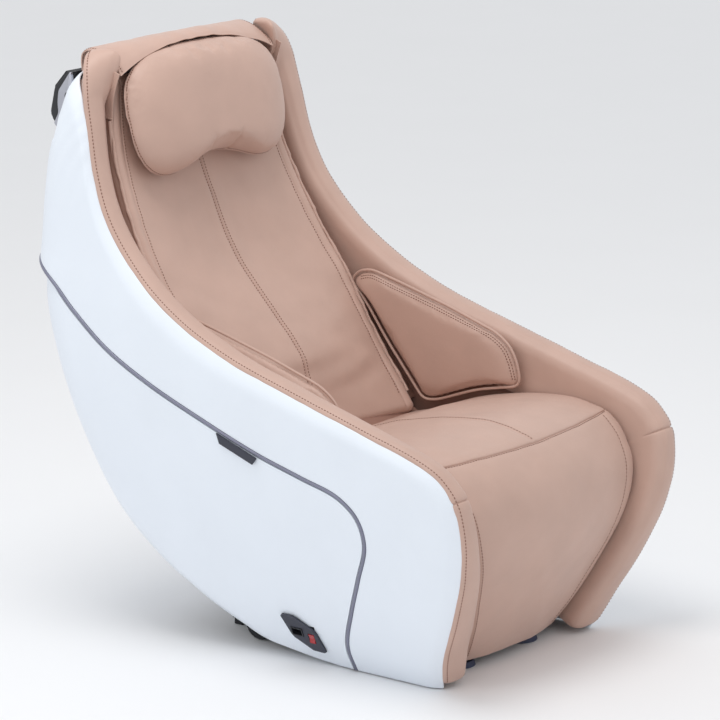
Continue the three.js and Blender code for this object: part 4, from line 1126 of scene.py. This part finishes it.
# The dark screw recess in the cheek: places out from the middle and radii, with a fine raised lip.
SCREW_AT = (451, 959)
SCREW = [(244.2, 0.6), (244.3, 3.5), (244.45, 5.4), (244.9, 5.9), (245.1, 6.6), (244.7, 7.2), (243.6, 7.3)]
screw_turns = np.linspace(0, 2 * np.pi, 28, endpoint=False)
screw_round = np.column_stack([np.cos(screw_turns), np.sin(screw_turns)])
slot_line = np.linspace((475.5, 898.5), (466.5, 889.5), 14)
SLOT_RADII = [0.8, 1.5, *([1.9] * 10), 1.5, 0.8]


def solid_outline(outline, start, stop, side, soft=1.6):
    """A plate across x with softened edges, from an outline in the side view."""
    middle = outline.mean(0)
    out = out_of(outline)
    layers = [(start, soft), (start + 0.35 * soft, 0.3 * soft), (start + soft, 0.0), (stop - soft, 0.0),
              (stop - 0.35 * soft, 0.3 * soft), (stop, soft)]
    return loft([beside(side * x, outline - out * inset) for x, inset in layers])


for word, side in SIDES:
    new_piece(f"handle_cheek_{word}", solid_outline(rounded(CHEEK, 5, 4), 236.5, 244.5, side),
              slot="handle_aluminium", replaces=[f"handle_bracket_{word}"])
    for name, shape in (
            ("grip_end", solid_outline(rounded(GRIP_END, 5, 4), 222, 241.5, side)),
            ("screw", loft([beside(side * x, SCREW_AT + r * screw_round) for x, r in SCREW])),
            ("slot", tube(beside(side * 241.5, slot_line), SLOT_RADII))):
        new_piece(f"handle_{name}_{word}", shape, slot="black_plastic")

# ---- rigid parts carried over
by_slot = {row["node"]: row["material_slot"] for row in frame["record"]["subparts"]}
SOFT_EDGE = {"handle_bracket_right": 1.6, "handle_bracket_left": 1.6, "handle_grip": 2.5, "badge_plate": 0.5,
             "power_plate": 0.7, "rocker_switch": 0.4}
for name, node in frame["nodes"].items():
    if node.hide_render:
        continue
    node.data.materials.clear()
    node.data.materials.append(BLUE_RUBBER if name.startswith("front_foot") else LOOK_OF[by_slot[name]])
    bevel = node.modifiers.new("edge", "BEVEL")
    bevel.width = SOFT_EDGE.get(name, 0.6) * MM
    bevel.segments = 2
    bevel.limit_method = "ANGLE"
    bevel.angle_limit = math.radians(40)

# ---- floor, light and camera
floor_mesh = bpy.data.meshes.new("floor")
FLOOR_HALF = 9
corners = [(x * FLOOR_HALF, y * FLOOR_HALF, 0) for x, y in ((-1, -1), (1, -1), (1, 1), (-1, 1))]
floor_mesh.from_pydata(corners, [], [(0, 1, 2, 3)])
floor = bpy.data.objects.new("floor", floor_mesh)
floor_mesh.materials.append(look("floor_white", (0.86, 0.86, 0.87), 0.9, mottle=0.004, mottle_scale=3))
bpy.context.scene.collection.objects.link(floor)
floor.location.z = -0.0006

world = bpy.data.worlds.new("studio")
world.use_nodes = True
world.node_tree.nodes["Background"].inputs["Color"].default_value = (0.97, 0.985, 1.0, 1)
world.node_tree.nodes["Background"].inputs["Strength"].default_value = 0.86
bpy.context.scene.world = world


def area_light(name, place_at, target, size, power, color=(1, 1, 1)):
    data = bpy.data.lights.new(name, "AREA")
    data.shape = "DISK"
    data.size = size
    data.energy = power
    data.color = color
    lamp = bpy.data.objects.new(name, data)
    bpy.context.scene.collection.objects.link(lamp)
    lamp.location = place_at
    lamp.rotation_mode = "QUATERNION"
    lamp.rotation_quaternion = (Vector(target) - Vector(place_at)).to_track_quat("-Z", "Y")


area_light("key", (-0.7, 0.1, 3.5), (0, -0.05, 0.5), 1.8, 36, (1, 0.985, 0.97))
area_light("side", (-3.4, 0.6, 1.6), (0, 0, 0.5), 2.2, 7, (0.95, 0.98, 1))

CAMERA_AT, CAMERA_LOOKS = (-5.5586, -4.3178, 2.1903), (0.76939, 0.59402, -0.23491)
camera_data = bpy.data.cameras.new("camera")
camera_data.sensor_width = 36
camera_data.lens = 200
camera_data.clip_end = 60
camera = bpy.data.objects.new("camera", camera_data)
bpy.context.scene.collection.objects.link(camera)
camera.location = CAMERA_AT
camera.rotation_mode = "QUATERNION"
camera.rotation_quaternion = Vector(CAMERA_LOOKS).to_track_quat("-Z", "Y")
bpy.context.scene.camera = camera
bpy.context.scene.view_settings.view_transform = "Standard"
